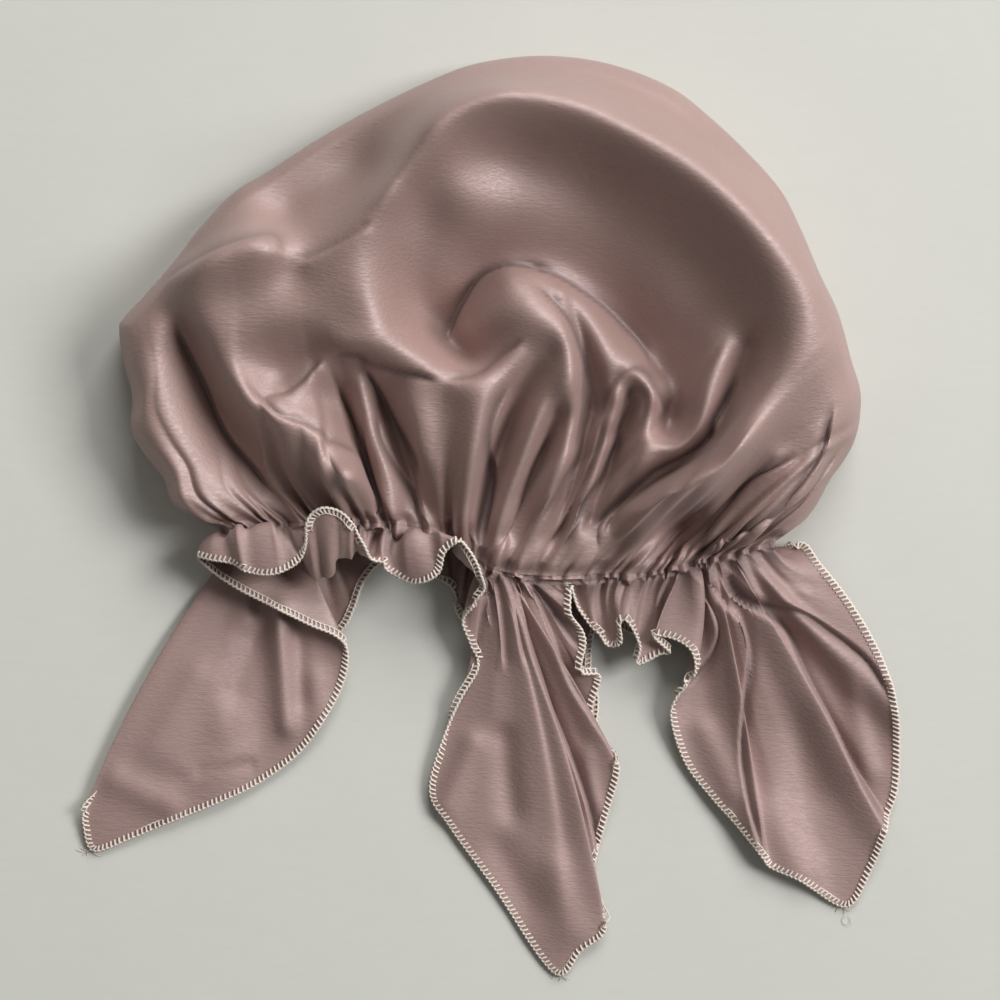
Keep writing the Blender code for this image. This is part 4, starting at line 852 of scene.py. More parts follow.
# %% The table of ribs
FRILL_RIBS = (  # name, seam side, seam x, bend (x, y, height), hem (x, y, height)
    ("centre tail tip", "front", 504, (540, 760, 12), (554, 973, 2)),
    ("centre tail left 1", "front", 501, (502, 745, 9), (493, 886, 3)),
    ("centre tail left 2", "front", 498.5, (482, 735, 8), (448, 824, 3)),
    ("centre tail left corner", "front", 496, (468, 700, 8), (430, 785, 4)),
    ("centre tail left 3", "front", 493.5, (474, 650, 10), (456, 709, 7)),
    ("centre tail left 4", "front", 491, (478, 622, 13), (478, 668, 10)),
    ("centre tail left 5", "front", 488, (474, 602, 15), (471, 645, 12)),
    ("tucked hem 1", "front", 484, (468, 592, 15), (463, 622, 14)),
    ("ruffle curl 1", "front", 479, (478, 585, 20), (470, 606, 20)),
    ("ruffle curl 2", "front", 470, (474, 572, 25), (483, 588, 25)),
    ("ruffle curl 3", "front", 456, (466, 560, 29), (478, 563, 31)),
    ("ruffle curl 4", "front", 446, (453, 541, 33), (461, 543, 36)),
    ("ruffle curl 5", "front", 436, (440, 533, 34), (445, 552, 34)),
    ("ruffle dip 1", "front", 424, (426, 528, 28), (437, 575, 30)),
    ("ruffle dip 2", "front", 410, (407, 533, 27), (416, 583, 26)),
    ("ruffle dip 3", "front", 396, (398, 550, 24), (396, 576, 25)),
    ("ruffle rise 1", "front", 380, (377, 553, 24), (378, 560, 27)),
    ("ruffle rise 2", "front", 364, (363, 555, 25), (361, 539, 35)),
    ("ruffle lobe 1", "front", 350, (350, 555, 26), (349, 519, 41)),
    ("ruffle lobe 2", "front", 336, (338, 562, 25), (336, 510, 43)),
    ("ruffle lobe 3", "front", 322, (328, 574, 22), (321, 508, 43)),
    ("ruffle lobe 4", "front", 308, (318, 578, 20), (307, 521, 40)),
    ("ruffle lobe 5", "front", 296, (302, 560, 24), (305, 545, 35)),
    ("left lobe 1", "front", 284, (288, 535, 27), (298, 562, 31)),
    ("left lobe 2", "front", 268, (270, 522, 27), (278, 573, 31)),
    ("left lobe 3", "front", 250, (248, 526, 27), (256, 574, 30)),
    ("left lobe 4", "front", 236, (228, 529, 26), (233, 565, 29)),
    ("left lobe 5", "front", 225, (212, 538, 24), (212, 560, 26)),
    ("left turn", "front", 218, (202, 549, 18), (199, 558, 21)),
    ("flap 1", "back", 221, (232, 562, 9), (214, 573, 17)),
    ("flap 2", "back", 225, (275, 572, 9), (240, 590, 16)),
    ("flap 3", "back", 231, (303, 582, 10), (276, 608, 16)),
    ("flap 4", "back", 238, (318, 590, 11), (310, 625, 15)),
    ("flap corner", "back", 246, (322, 593, 11), (334, 635, 13)),
    ("left tail right 1", "back", 252, (322, 598, 9), (346, 648, 10)),
    ("left tail right 2", "back", 256, (318, 608, 6.5), (346, 672, 7)),
    ("left tail right 3", "back", 260, (308, 622, 5.5), (333, 705, 5)),
    ("left tail crest", "back", 262, (286, 650, 8), (302, 750, 4)),
    ("left tail valley", "back", 262, (262, 655, 5), (262, 781, 3)),
    ("left tail left 1", "back", 260, (235, 680, 8), (222, 801, 4)),
    ("left tail left 2", "back", 256, (200, 700, 7), (170, 822, 3)),
    ("left tail left 3", "back", 252, (180, 692, 7), (132, 838, 2.5)),
    ("left tail tip", "back", 248, (165, 690, 7), (94, 851, 2)),
    ("left tail turn", "back", 244, (152, 680, 6.5), (84, 828, 3.2)),
    ("left tail fold", "back", 243, (150, 672, 5), (86, 808, 4.6)),
    ("left tail under 1", "back", 248, (178, 662, 2.6), (106, 786, 2)),
    ("left tail under 2", "back", 256, (215, 648, 1.8), (160, 715, 1)),
    ("left tail under 3", "back", 268, (255, 620, 1.5), (235, 655, 1)),
    ("back ruffle 1", "back", 292, (300, 588, 2), (300, 638, 1)),
    ("back ruffle 2", "back", 316, (330, 582, 3), (342, 630, 3)),
    ("back ruffle 3", "back", 342, (352, 568, 4), (365, 580, 8)),
    ("back ruffle 4", "back", 372, (376, 552, 2), (385, 563, 2)),
    ("back ruffle 5", "back", 406, (410, 556, 2), (415, 572, 1)),
    ("back ruffle 6", "back", 440, (443, 560, 2), (450, 585, 3)),
    ("back ruffle 7", "back", 464, (460, 585, 3), (457, 612, 4)),
    ("back ruffle 8", "back", 480, (472, 610, 3), (474, 645, 4)),
    ("back tail left 1", "back", 490, (490, 680, 1.5), (478, 740, 1)),
    ("back tail left 2", "back", 498, (502, 740, 1.5), (494, 830, 1)),
    ("back tail tip", "back", 505, (530, 760, 1.5), (545, 925, 1)),
    ("back tail right 1", "back", 515, (548, 750, 1.5), (575, 840, 1)),
    ("back tail right 2", "back", 530, (560, 700, 1.5), (590, 760, 1)),
    ("back tail right 3", "back", 545, (570, 650, 2), (598, 702, 2)),
    ("back ruffle 9", "back", 562, (575, 620, 2), (590, 668, 2)),
    ("back ruffle 10", "back", 600, (600, 600, 1.5), (600, 622, 1)),
    ("back ruffle 11", "back", 645, (644, 600, 1.5), (646, 636, 1)),
    ("back ruffle 12", "back", 690, (692, 590, 1.5), (700, 625, 1)),
    ("back ruffle 13", "back", 732, (740, 565, 1.5), (758, 588, 1)),
    ("back ruffle 14", "back", 760, (774, 553, 3), (781, 559, 4)),
    ("right turn", "back", 773, (784, 547, 7), (801, 542, 9)),
    ("right tail top 1", "front", 771, (796, 562, 13), (822, 566, 12)),
    ("right tail top 2", "front", 762, (808, 590, 13), (852, 605, 12)),
    ("right tail top 3", "front", 753, (812, 612, 12), (880, 655, 11)),
    ("right tail crest c", "front", 745, (800, 618, 15), (896, 703, 12)),
    ("right tail valley c", "front", 741, (793, 636, 7), (899, 745, 6)),
    ("right tail right", "front", 737, (796, 664, 6), (897, 790, 4)),
    ("right tail under b", "front", 733, (790, 662, 6), (889, 815, 4)),
    ("right tail crest b", "front", 729, (795, 662, 13), (886, 833, 8)),
    ("right tail face b", "front", 725, (780, 690, 8), (872, 868, 4)),
    ("right tail tip", "front", 721, (765, 700, 7), (847, 907, 2)),
    ("right tail left 1", "front", 717, (752, 700, 6), (800, 880, 3)),
    ("right tail under a", "front", 714, (738, 690, 5), (772, 868, 4)),
    ("right tail crest a", "front", 711, (741, 693, 12), (762, 857, 7)),
    ("right tail left 2", "front", 706, (725, 690, 8), (737, 826, 4)),
    ("right tail left 3", "front", 702, (708, 680, 6), (712, 798, 4)),
    ("right tail left 4", "front", 698, (695, 668, 7), (686, 764, 4)),
    ("right tail left 5", "front", 695, (690, 650, 9), (672, 722, 7)),
    ("right curl 1", "front", 692, (696, 638, 12), (675, 700, 10)),
    ("right curl 2", "front", 690, (700, 622, 16), (693, 675, 14)),
    ("right curl 3", "front", 687, (694, 610, 19), (692, 652, 18)),
    ("right curl 4", "front", 683, (680, 600, 20), (675, 639, 20)),
    ("right curl 5", "front", 679, (666, 596, 20), (653, 636, 20)),
    ("right ruffle 1", "front", 672, (666, 608, 16), (668, 652, 15)),
    ("right ruffle 2", "front", 664, (655, 608, 15), (660, 654, 14)),
    ("right ruffle 3", "front", 652, (642, 610, 16), (638, 664, 15)),
    ("right ruffle 4", "front", 642, (635, 604, 19), (640, 645, 19)),
    ("right ruffle 5", "front", 632, (626, 598, 21), (628, 621, 23)),
    ("right ruffle 6", "front", 624, (618, 598, 20), (619, 623, 22)),
    ("right ruffle 7", "front", 616, (612, 604, 17), (622, 641, 17)),
    ("right ruffle 8", "front", 606, (600, 604, 16), (610, 646, 15)),
    ("right ruffle 9", "front", 594, (588, 598, 16), (594, 630, 16)),
    ("right ruffle 10", "front", 582, (578, 592, 15), (582, 612, 15)),
    ("centre flap 1", "front", 562, (566, 586, 18), (572, 584, 20)),
    ("centre flap 2", "front", 545, (560, 594, 19), (569, 599, 21)),
    ("centre flap 3", "front", 532, (556, 604, 17), (575, 622, 18)),
    ("centre flap 4", "front", 524, (556, 618, 15), (585, 641, 15)),
    ("centre flap 5", "front", 520, (556, 632, 13), (581, 672, 13)),
    ("centre flap 6", "front", 517, (560, 650, 12), (600, 677, 10)),
    ("centre tail right 1", "front", 515, (566, 672, 8), (592, 712, 6)),
    ("centre tail under b", "front", 513.5, (566, 672, 7), (604, 745, 5)),
    ("centre tail crest b", "front", 512, (562, 662, 14), (619, 767, 9)),
    ("centre tail face b", "front", 510.5, (560, 690, 9), (608, 812, 5)),
    ("centre tail valley a", "front", 509, (556, 705, 7), (598, 850, 4)),
    ("centre tail under a", "front", 508, (548, 700, 7), (590, 885, 4)),
    ("centre tail crest a", "front", 507, (553, 711, 14), (606, 928, 5)),
    ("centre tail face a", "front", 505.5, (546, 735, 12), (582, 950, 3)),
)

# %% The frill's surface
SEAM_INSET = 0.3 * MM        # the frill's edge lies this far inside the crown's
SEAM_LAP = 0.6 * MM          # and reaches this far up under it
FRILL_COLLAR = 2.5 * MM      # the straight stretch over the elastic
COLLAR_STEPS = 5
FRILL_STEPS = 56             # along a rib in all
FRILL_RIB_COUNT = 1300
RIB_FINE = 24                # steps of the smooth curves between two named ribs
CROWD_SEAM = 1.15            # the power that crowds the steps towards the seam


def frill_surface():
    """Ribs: straight over the elastic, then a parabola (quadratic Bezier) through the bend to the
    hem.  Between the named ribs, bends and hems follow smooth curves."""
    left_x, right_x = MOUTH_LINE[0][0], MOUTH_LINE[-1][0]
    share = np.array([(row[2] - left_x) / (right_x - left_x) for row in FRILL_RIBS])
    side = np.array([row[1] == "front" for row in FRILL_RIBS])
    turns = np.unwrap(np.where(side, 1 - share, 1 + share), period=2.0)
    order = np.arange(len(turns) + 1)
    wanted = np.linspace(0, len(turns), FRILL_RIB_COUNT, endpoint=False)
    turn = np.interp(wanted, order, np.r_[turns, turns[0] + 2.0])
    lines = np.stack([place([row[3] for row in FRILL_RIBS]),
                      place([row[4] for row in FRILL_RIBS])], 1)
    smooth = catmull_rom(lines, RIB_FINE, closed=True).reshape(-1, 6)
    where = np.arange(len(smooth)) / RIB_FINE
    picked = np.stack([np.interp(wanted, where, column, period=len(turns))
                       for column in smooth.T], -1)
    bend, hem = picked[:, :3], picked[:, 3:]
    seam = mouth_ring(turn, SEAM_INSET, SEAM_LAP)
    collar = mouth_ring(turn, SEAM_INSET, SEAM_LAP - FRILL_COLLAR)
    reach_bend = np.linalg.norm(bend - collar, axis=1, keepdims=True)
    reach_hem = np.linalg.norm(hem - bend, axis=1, keepdims=True)
    at = reach_bend / (reach_bend + reach_hem)
    pull = (bend - (1 - at) ** 2 * collar - at ** 2 * hem) / (2 * at * (1 - at))
    t = np.linspace(0, 1, FRILL_STEPS - COLLAR_STEPS)[:, None, None] ** CROWD_SEAM
    sweep = (1 - t) ** 2 * collar + 2 * t * (1 - t) * pull + t ** 2 * hem
    strip = np.linspace(0, 1, COLLAR_STEPS + 1)[:-1, None, None]
    straight = seam + (collar - seam) * strip
    grid = np.concatenate([straight, sweep]).transpose(1, 0, 2)
    run = np.linalg.norm(np.diff(grid, axis=1), axis=-1)
    away = np.concatenate([np.zeros((len(grid), 1)), np.cumsum(run, axis=1)], 1)
    return grid, turn, away, np.round(wanted).astype(int) % len(turns)


# %% Tucks, low folds and gathers on the frill
ELASTIC_STEPS = 24           # the steps of a rib that may lie over the elastic
UNDER_CROWN = 0.3 * MM       # the frill crosses the elastic this far under the crown
OVER_TABLE = 0.4 * MM        # lowest height of its cloth


def fold_frill(grid, turn, away, row):
    """The frill's ribs with tucks and low folds added to the height, then gathers along its
    normals, a dip at the seam, and room kept over the elastic and the table."""
    where = seen(grid)
    cloth_of_row = np.array([
        "left tail" if name.startswith("left tail") and "under" not in name else side
        for name, side, *_rest in FRILL_RIBS])
    tucked = np.zeros(grid.shape[:2])
    for cloth in ("front", "left tail"):
        lift = tuck_lift(where, [tuck for tuck in TUCKS if tuck[0] == cloth])
        tucked += np.where(cloth_of_row[row] == cloth, 1.0, 0.0)[:, None] * lift
    grid[..., 2] += tucked + low_folds(where)
    on_front = turn % 2.0 < 1.0
    up_or_down = np.where(on_front, 1.0, -1.0)[:, None, None]
    normal = -grid_normals(np.concatenate([grid[-1:], grid, grid[:1]]))[1:-1]
    gathered = puckers(turn[:, None], away)
    way = lift_direction(normal * up_or_down, away) * up_or_down
    grid = grid + way * gathered[..., None]
    grid[..., 2] -= on_front[:, None] * SEAM_DIP * np.exp(-(away / SEAM_DIP_WIDTH) ** 2)
    to_end = np.minimum(turn % 1.0, 1 - turn % 1.0) * mouth_length
    rolled = quarter_round(to_end, ROLL_FRONT)[:, None]
    ribs = np.flatnonzero(on_front)
    grid[ribs, :ELASTIC_STEPS] = over_elastic(grid[ribs, :ELASTIC_STEPS], rolled[ribs],
                                              OVER_ELASTIC - UNDER_CROWN)
    grid[..., 2] = np.maximum(grid[..., 2], OVER_TABLE)
    return grid, hollow_shade(away, gathered, tucked)


frill_grid, frill_shade = fold_frill(*frill_surface())
frill_index = np.arange(frill_grid.size // 3).reshape(frill_grid.shape[:2])
frill_ring = np.concatenate([frill_index, frill_index[:1]])
frill_cloth = add_mesh("frill_cloth", frill_grid.reshape(-1, 3), grid_faces(frill_ring)[:, ::-1],
                       shade=frill_shade)

# %% [markdown]
# ## The overlocked edge
# An overlock machine wraps three threads round the raw edge: a straight row of needle stitches a
# few millimetres in, and loops that cross from it to the edge and lock there.  A flat ribbon with
# a texture would look printed.  Here every stitch is a small bent tube of thread, laid out along
# the hem by arrays, and two rails of thread run beside them.

# %% Along the hem, and tubes of thread
STITCH_PITCH = 2.1 * MM
STITCH_WIDTH = 2.6 * MM
THREAD_RADIUS = 0.46 * MM
THREAD_LIFT = 0.40 * MM      # of the thread's middle off the cloth
TUBE_SIDES = 5
INNER_STEPS = 4              # the cloth's direction at the hem is taken over this many steps


def hem_frame(count):
    """Points of the hem at even lengths, with the unit directions along it, into the cloth and
    out of its face."""
    hem = np.concatenate([frill_grid[:, -1], frill_grid[:1, -1]])
    inner = np.concatenate([frill_grid[:, -INNER_STEPS], frill_grid[:1, -INNER_STEPS]])
    share = np.linspace(0, 1, count, endpoint=False)
    walk = np.r_[0.0, np.cumsum(np.linalg.norm(np.diff(hem, axis=0), axis=1))]
    walk = walk / walk[-1]
    spot = np.stack([np.interp(share, walk, column) for column in hem.T], -1)
    inward = np.stack([np.interp(share, walk, column) for column in inner.T], -1) - spot
    along = np.roll(spot, -1, 0) - np.roll(spot, 1, 0)
    along /= np.linalg.norm(along, axis=1, keepdims=True)
    inward -= (inward * along).sum(1, keepdims=True) * along
    inward /= np.maximum(np.linalg.norm(inward, axis=1, keepdims=True), 1e-9)
    return spot, along, inward, np.cross(along, inward)


def tubes(paths, radius):
    """Tubes of even radius along many paths at once (paths, points, 3): a ring of points round
    each path point, turned to the path's direction, joined by quads."""
    count, points = paths.shape[:2]
    ahead = np.gradient(paths, axis=1)
    ahead /= np.maximum(np.linalg.norm(ahead, axis=-1, keepdims=True), 1e-12)
    guide = np.where(np.abs(ahead[..., 2:3]) > 0.9, (1.0, 0.0, 0.0), (0.0, 0.0, 1.0))
    side = np.cross(ahead, guide)
    side /= np.linalg.norm(side, axis=-1, keepdims=True)
    up = np.cross(side, ahead)
    angle = np.arange(TUBE_SIDES) * 2 * np.pi / TUBE_SIDES
    ring = (np.cos(angle)[:, None] * side[:, :, None] + np.sin(angle)[:, None] * up[:, :, None])
    vertices = paths[:, :, None] + radius * ring
    index = np.arange(count * points * TUBE_SIDES).reshape(count, points, TUBE_SIDES)
    index = np.concatenate([index, index[..., :1]], -1)
    quads = np.stack([index[:, :-1, :-1], index[:, 1:, :-1], index[:, 1:, 1:],
                      index[:, :-1, 1:]], -1).reshape(-1, 4)
    return vertices.reshape(-1, 3), quads


# %% Stitches round the hem
hem_length = length_of(np.concatenate([frill_grid[:, -1], frill_grid[:1, -1]]))
stitch_count = int(hem_length / STITCH_PITCH)
spot, along, inward, face = hem_frame(stitch_count)
print(f"hem {hem_length:.2f} m, {stitch_count} stitches")

# One stitch, as shares of the pitch along the hem, of the width into the cloth and of the lift
# out of its face: over the top face to the edge, round it, and back underneath.
STITCH_PATH = np.array([
    (-0.30, 1.00, 0.5), (-0.20, 0.80, 1.0), (0.00, 0.40, 1.0), (0.14, 0.02, 0.9),
    (0.20, -0.10, 0.0), (0.10, 0.05, -0.9), (-0.10, 0.50, -1.0), (-0.30, 1.00, -0.6)])
steps = STITCH_PATH[None, :, :, None]
jitter = random.normal(0, 0.05, (stitch_count, 1, 1))
paths = (spot[:, None] + along[:, None] * (steps[..., 0, :] + jitter) * STITCH_PITCH
         + inward[:, None] * steps[..., 1, :] * STITCH_WIDTH
         + face[:, None] * steps[..., 2, :] * THREAD_LIFT)
stitches = tubes(paths, THREAD_RADIUS)

# %% The rails along both sides of the stitches
RAIL_POINTS = 4              # for each stitch
RAIL_BOB = 0.3               # how much it rises for each millimetre that it swings


def rail(depth, lift, wave, radius):
    """A continuous thread along the hem at one depth, with a small wave for each stitch."""
    count = stitch_count * RAIL_POINTS
    at, _ahead, into, out = hem_frame(count)
    swing = np.cos(np.arange(count) * 2 * np.pi / RAIL_POINTS)[:, None]
    path = at + into * (depth + wave * swing) + out * (lift + RAIL_BOB * wave * swing)
    return tubes(np.concatenate([path, path[:1]])[None], radius)


needle_rail = rail(depth=0.96 * STITCH_WIDTH, lift=THREAD_LIFT, wave=0.12 * MM, radius=0.30 * MM)
edge_rail = rail(depth=0.05 * MM, lift=0.30 * MM, wave=0.30 * MM, radius=0.58 * MM)
print(f"rails of {len(needle_rail[0])} points each")

# %% [markdown]
# At the three tips the machine ran off the cloth, and the threads were cut a centimetre away.
# Each loose end is a thin tube that starts at the tip, wanders outwards and sinks to the table.

# %% Loose thread ends, and the thread as one piece
FRAY_RADIUS = 0.13 * MM
FRAY_POINTS = 14
FRAY_FALL = 1.6          # mm from a tip's height down to the height at rest
FRAY_REST = 0.35         # mm
TIPS = (  # seen x, y of the tip, seen direction outwards, count of ends, length in mm
    (93, 848, (-0.4, 1.0), 9, 6.0),
    (555, 968, (0.1, 1.0), 12, 7.0),
    (846, 903, (0.0, 1.0), 7, 5.0),
)


def frayed(tip_x, tip_y, way, count, reach):
    """Thread ends from a tip.  Each turns steadily by its own curl as it goes: its heading is
    way + curl * t, and its height falls from the cloth to the table."""
    t = np.linspace(0, 1, FRAY_POINTS)[None, :]
    start = np.arctan2(-way[1], way[0]) + random.normal(0, 0.75, (count, 1))
    heading = start + random.normal(0, 1.5, (count, 1)) * t
    run = reach * MM * random.uniform(0.5, 1.3, (count, 1)) / FRAY_POINTS
    from_tip = place((tip_x, tip_y, 1.5)) + random.normal(0, 0.5, (count, 3)) * MM
    plan = np.cumsum(np.stack([np.cos(heading), np.sin(heading)], -1) * run[..., None], axis=1)
    height = np.broadcast_to((FRAY_FALL * (1 - t) ** 2 + FRAY_REST) * MM, heading.shape)
    return np.concatenate([from_tip[:, None, :2] + plan, height[..., None]], -1)


def thread_loop(centre_x, centre_y, radius):
    """One end curled round: a circle that opens a little, lying on the table."""
    angle = np.linspace(0.6 * np.pi, 2.3 * np.pi, 3 * FRAY_POINTS)
    middle = place((centre_x, centre_y, 0.0))
    spread = radius * (0.9 + 0.06 * angle / np.pi)
    return np.stack([middle[0] + spread * np.cos(angle), middle[1] + spread * np.sin(angle),
                     FRAY_REST * MM + 0.1 * MM * angle], -1)[None]


loose = [frayed(*tip) for tip in TIPS] + [thread_loop(847, 920, 2.0 * MM)]
parts = [stitches, needle_rail, edge_rail] + [tubes(ends, FRAY_RADIUS) for ends in loose]
first = np.cumsum([0] + [len(part[0]) for part in parts[:-1]])
overlock = add_mesh("overlock_thread", np.concatenate([part[0] for part in parts]),
                    np.concatenate([part[1] + start for part, start in zip(parts, first)]))

# %% [markdown]
# ## The elastic
# A flat woven elastic lies inside the seam.  It shows only through the mouth.  Its band is the
# ring of the mouth, moved inwards, with fine ribs across it where the rubber draws it in.

# %% The elastic band
CROWN_WALL = 1.5 * MM        # of the crown's solid, inside which the elastic lies
ELASTIC_GAP = 0.9 * MM
ELASTIC_WIDTH = 7.4 * MM
ELASTIC_THICK = 1.0 * MM
ELASTIC_BEVEL = 0.25 * MM
ELASTIC_RIBS = 260
RIB_DEPTH = 0.12 * MM


def elastic_surface():
    """Closed band: a rounded rectangle carried round the ring, its thickness swelling and
    shrinking once for each rib."""
    turn = np.linspace(0, 2, ELASTIC_RIBS * 4, endpoint=False)
    near, far = CROWN_WALL + ELASTIC_GAP, CROWN_WALL + ELASTIC_GAP + ELASTIC_THICK
    swell = RIB_DEPTH * (1 + np.cos(np.pi * ELASTIC_RIBS * turn))
    half, bevel = ELASTIC_WIDTH / 2, ELASTIC_BEVEL
    section = ((near, half - bevel), (near, -half + bevel), (near + bevel, -half),
               (far - bevel, -half), (far, -half + bevel), (far, half - bevel),
               (far - bevel, half), (near + bevel, half))
    ring = [mouth_ring(turn, inset + (swell if inset == near else -swell) * (abs(shift) < half),
                       shift) for inset, shift in section]
    return np.stack(ring, 1)


ring = elastic_surface()
ring_index = np.arange(ring.size // 3).reshape(ring.shape[:2])
ring_index = np.concatenate([ring_index, ring_index[:1]])
ring_index = np.concatenate([ring_index, ring_index[:, :1]], 1)
elastic = add_mesh("elastic_band_woven", ring.reshape(-1, 3), grid_faces(ring_index))

# %% [markdown]
# ## Materials
# Satin is woven with long floats, so it shines softly and along broad bands, and its wrong side
# is duller.  One node group gives the grain that both sides and the thread use: it only puts out
# what varies, and each material has its own shader.

# %% The grain group
def new_group(name, inputs, outputs):
    group = bpy.data.node_groups.new(name, "ShaderNodeTree")
    for label, kind, value in inputs:
        socket = group.interface.new_socket(label, in_out="INPUT", socket_type=kind)
        socket.default_value = value
    for label, kind in outputs:
        group.interface.new_socket(label, in_out="OUTPUT", socket_type=kind)
    return group


def node(tree, kind, **values):
    """Add a node; keywords set its own properties."""
    made = tree.nodes.new(kind)
    for key, value in values.items():
        setattr(made, key, value)
    return made


def make_grain():
    """Mask of fine streaks from stretched noise, and a broad cloudy mask."""
    group = new_group("cloth grain",
                      [("Streaks per metre", "NodeSocketFloat", 800.0),
                       ("Clouds per metre", "NodeSocketFloat", 26.0)],
                      [("Streaks", "NodeSocketFloat"), ("Clouds", "NodeSocketFloat")])
    ins = node(group, "NodeGroupInput")
    outs = node(group, "NodeGroupOutput")
    spot = node(group, "ShaderNodeTexCoord")
    squash = node(group, "ShaderNodeMapping")
    squash.inputs["Rotation"].default_value = (0.2, 0.1, 0.15)
    squash.inputs["Scale"].default_value = (0.25, 1.0, 1.0)
    streaks = node(group, "ShaderNodeTexNoise")
    streaks.inputs["Detail"].default_value = 3.0
    streaks.inputs["Roughness"].default_value = 0.7
    clouds = node(group, "ShaderNodeTexNoise")
    clouds.inputs["Detail"].default_value = 2.0
    link = group.links.new
    link(spot.outputs["Object"], squash.inputs["Vector"])
    link(squash.outputs["Vector"], streaks.inputs["Vector"])
    link(spot.outputs["Object"], clouds.inputs["Vector"])
    link(ins.outputs["Streaks per metre"], streaks.inputs["Scale"])
    link(ins.outputs["Clouds per metre"], clouds.inputs["Scale"])
    link(streaks.outputs["Fac"], outs.inputs["Streaks"])
    link(clouds.outputs["Fac"], outs.inputs["Clouds"])
    return group


grain = make_grain()


# %% [markdown]
# The satin's two sides are one material, because the cloth has no thickness here: Backfacing tells
# which side is seen.  Its gloss is that of coated thread, so the index of refraction is high and
# the roughness broad, with a little sheen where the cloth turns away.

# %% The satin
SATIN_RIGHT = ((0.320, 0.200, 0.168), (0.355, 0.226, 0.192))    # darker and lighter clouds
SATIN_WRONG = ((0.290, 0.178, 0.152), (0.320, 0.202, 0.175))
# painted shade: the dark colour that the deepest gathers and slots take, standing in for the light
# that cannot get out of them
SATIN_PAINTED_SHADE = (0.060, 0.030, 0.024)
PAINTED_SHADE_DARKEST = 0.75    # how much of the hollow's colour the deepest places take
NOISE_SPAN = (0.3, 0.7)  # where nearly all of a noise's values lie


def colour_mix(tree, factor, dark, light):
    """Blend of two colours by a factor socket."""
    mix = node(tree, "ShaderNodeMix", data_type="RGBA")
    mix.inputs["A"].default_value = (*dark, 1.0)
    mix.inputs["B"].default_value = (*light, 1.0)
    tree.links.new(factor, mix.inputs["Factor"])
    return mix.outputs["Result"]


def range_of(tree, value, low, high, floor=0.0, top=1.0):
    """Map a socket from low..high to floor..top."""
    ramp = node(tree, "ShaderNodeMapRange")
    for label, number in (("From Min", low), ("From Max", high), ("To Min", floor),
                          ("To Max", top)):
        ramp.inputs[label].default_value = number
    tree.links.new(value, ramp.inputs["Value"])
    return ramp.outputs["Result"]


def make_satin(name):
    """Dusty satin: clouds of colour, streaks of roughness and bump, a duller wrong side."""
    material = bpy.data.materials.new(name)
    material.use_nodes = True
    tree = material.node_tree
    shader = tree.nodes["Principled BSDF"]
    link = tree.links.new
    cloth = node(tree, "ShaderNodeGroup", node_tree=grain)
    clouds = range_of(tree, cloth.outputs["Clouds"], *NOISE_SPAN)
    right_side = colour_mix(tree, clouds, *SATIN_RIGHT)
    wrong_side = colour_mix(tree, clouds, *SATIN_WRONG)
    sides = node(tree, "ShaderNodeMix", data_type="RGBA")
    facing = node(tree, "ShaderNodeNewGeometry")
    link(facing.outputs["Backfacing"], sides.inputs["Factor"])
    link(right_side, sides.inputs["A"])
    link(wrong_side, sides.inputs["B"])
    # painted shade: the vertex shade darkens the base colour towards the painted shade colour
    hollow = node(tree, "ShaderNodeAttribute")
    hollow.attribute_name = "shade"
    shaded = node(tree, "ShaderNodeMix", data_type="RGBA")
    shaded.inputs["B"].default_value = (*SATIN_PAINTED_SHADE, 1.0)
    depth = range_of(tree, hollow.outputs["Fac"], 0.0, 1.0, 0.0, PAINTED_SHADE_DARKEST)
    link(depth, shaded.inputs["Factor"])
    link(sides.outputs["Result"], shaded.inputs["A"])
    link(shaded.outputs["Result"], shader.inputs["Base Color"])
    rough = range_of(tree, cloth.outputs["Streaks"], *NOISE_SPAN, 0.50, 0.70)
    dull = node(tree, "ShaderNodeMath", operation="MULTIPLY_ADD")
    link(facing.outputs["Backfacing"], dull.inputs[0])
    dull.inputs[1].default_value = 0.12
    link(rough, dull.inputs[2])
    link(dull.outputs["Value"], shader.inputs["Roughness"])
    shader.inputs["Metallic"].default_value = 0.10
    shader.inputs["IOR"].default_value = 2.0
    shader.inputs["Specular IOR Level"].default_value = 0.75
    shader.inputs["Specular Tint"].default_value = (1.0, 0.94, 0.98, 1.0)
    shader.inputs["Sheen Weight"].default_value = 0.10
    shader.inputs["Sheen Roughness"].default_value = 0.5
    shader.inputs["Sheen Tint"].default_value = (1.0, 0.90, 0.96, 1.0)
    bump = node(tree, "ShaderNodeBump")
    bump.inputs["Strength"].default_value = 0.7
    bump.inputs["Distance"].default_value = 0.4 * MM
    link(cloth.outputs["Streaks"], bump.inputs["Height"])
    link(bump.outputs["Normal"], shader.inputs["Normal"])
    return material


# %% Yarn, thread and the table top
def make_matt(name, dark, light, roughness, streaks):
    """Plain yarn: a little uneven in colour, with a fine bump."""
    material = bpy.data.materials.new(name)
    material.use_nodes = True
    tree = material.node_tree
    shader = tree.nodes["Principled BSDF"]
    yarn = node(tree, "ShaderNodeGroup", node_tree=grain)
    yarn.inputs["Streaks per metre"].default_value = streaks
    link = tree.links.new
    link(colour_mix(tree, yarn.outputs["Streaks"], dark, light), shader.inputs["Base Color"])
    link(range_of(tree, yarn.outputs["Clouds"], *NOISE_SPAN, roughness - 0.06, roughness + 0.06),
         shader.inputs["Roughness"])
    bump = node(tree, "ShaderNodeBump")
    bump.inputs["Strength"].default_value = 0.35
    bump.inputs["Distance"].default_value = 0.1 * MM
    link(yarn.outputs["Streaks"], bump.inputs["Height"])
    link(bump.outputs["Normal"], shader.inputs["Normal"])
    return material


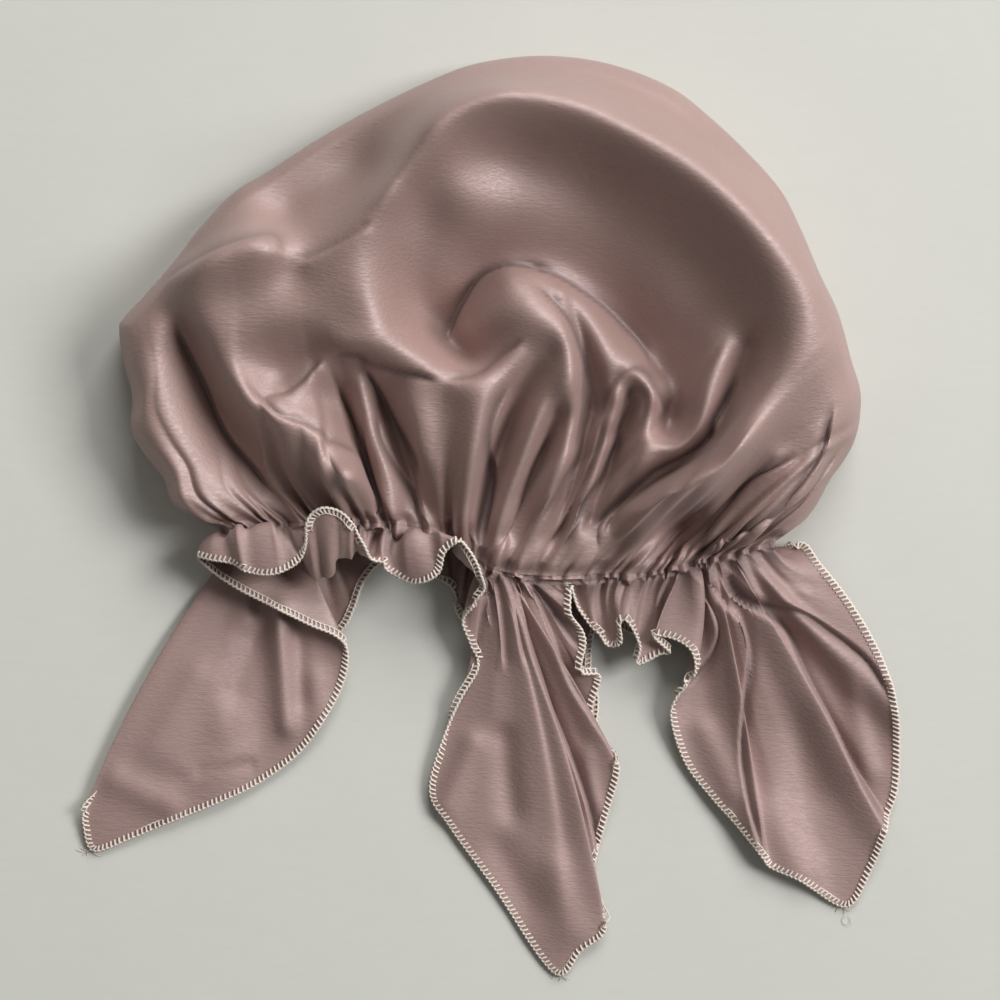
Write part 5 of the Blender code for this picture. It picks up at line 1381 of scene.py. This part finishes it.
satin = make_satin("dusty rose satin")
thread = make_matt("cream thread", (0.66, 0.58, 0.50), (0.86, 0.79, 0.71), 0.55, 2600.0)
elastic_yarn = make_matt("woven elastic", (0.62, 0.58, 0.54), (0.80, 0.77, 0.73), 0.75, 1800.0)
table_top = make_matt("table top", (0.595, 0.60, 0.555), (0.625, 0.63, 0.585), 0.5, 300.0)

for piece, look in ((crown_cloth, satin), (frill_cloth, satin), (overlock, thread),
                    (elastic, elastic_yarn)):
    piece.data.materials.clear()
    piece.data.materials.append(look)
print("materials:", ", ".join(look.name for look in (satin, thread, elastic_yarn, table_top)))

# %% [markdown]
# ## Table and light
# The table is a plain pale plane.  Two wide, soft lights, a window on the right and an open door
# beyond the top, draw the broad highlights of satin.  A weak warm glow from the left and the
# grey of the room fill the folds.

# %% Table, lights and world
FLOOR_HALF = 3.0
floor = add_mesh("table", [(-FLOOR_HALF, -FLOOR_HALF, 0.0), (FLOOR_HALF, -FLOOR_HALF, 0.0),
                           (FLOOR_HALF, FLOOR_HALF, 0.0), (-FLOOR_HALF, FLOOR_HALF, 0.0)],
                 [(0, 1, 2, 3)])
floor.data.materials.append(table_top)


def area_light(name, spot, size, power, colour):
    """A square soft light that looks at the bonnet."""
    lamp = bpy.data.lights.new(name, "AREA")
    lamp.size = size
    lamp.energy = power
    lamp.color = colour
    holder = bpy.data.objects.new(name, lamp)
    holder.location = spot
    holder.rotation_euler = (-Vector(spot)).to_track_quat("-Z", "Y").to_euler()
    bpy.context.scene.collection.objects.link(holder)


area_light("window", (3.59, 0.96, 3.35), 2.0, 200.0, (1.0, 0.99, 1.0))
area_light("open door", (1.02, 3.81, 2.80), 2.6, 150.0, (1.0, 0.995, 0.99))
area_light("far wall", (-1.30, 0.30, 1.80), 1.2, 2.0, (1.0, 0.92, 0.82))
world = bpy.data.worlds.new("soft room")
world.use_nodes = True
backdrop = world.node_tree.nodes["Background"]
backdrop.inputs["Color"].default_value = (0.94, 0.91, 0.88, 1.0)
backdrop.inputs["Strength"].default_value = 0.13
bpy.context.scene.world = world
bpy.context.scene.view_settings.view_transform = "Standard"

# %% [markdown]
# ## What each piece stands for
# Each piece rides on the bonnet's one body and stands for its solid, which is hidden.  The
# cloth made here would lie flat as a 0.46 m square with the crown as the disc inside it.
# The real square is 0.68 m: much of it hides in gathers finer than these.

for piece, solids, slot in ((crown_cloth, ("crown_front", "crown_back"), "satin"),
                            (frill_cloth, ("frill",), "satin"),
                            (elastic, ("elastic_band",), "elastic"), (overlock, (), "thread")):
    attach(piece, "root")
    if solids:
        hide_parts(*solids)


def surface_area(piece):
    return sum(face.area for face in piece.data.polygons)


print(f"crown cloth {surface_area(crown_cloth):.4f} m2, frill {surface_area(frill_cloth):.4f} m2")
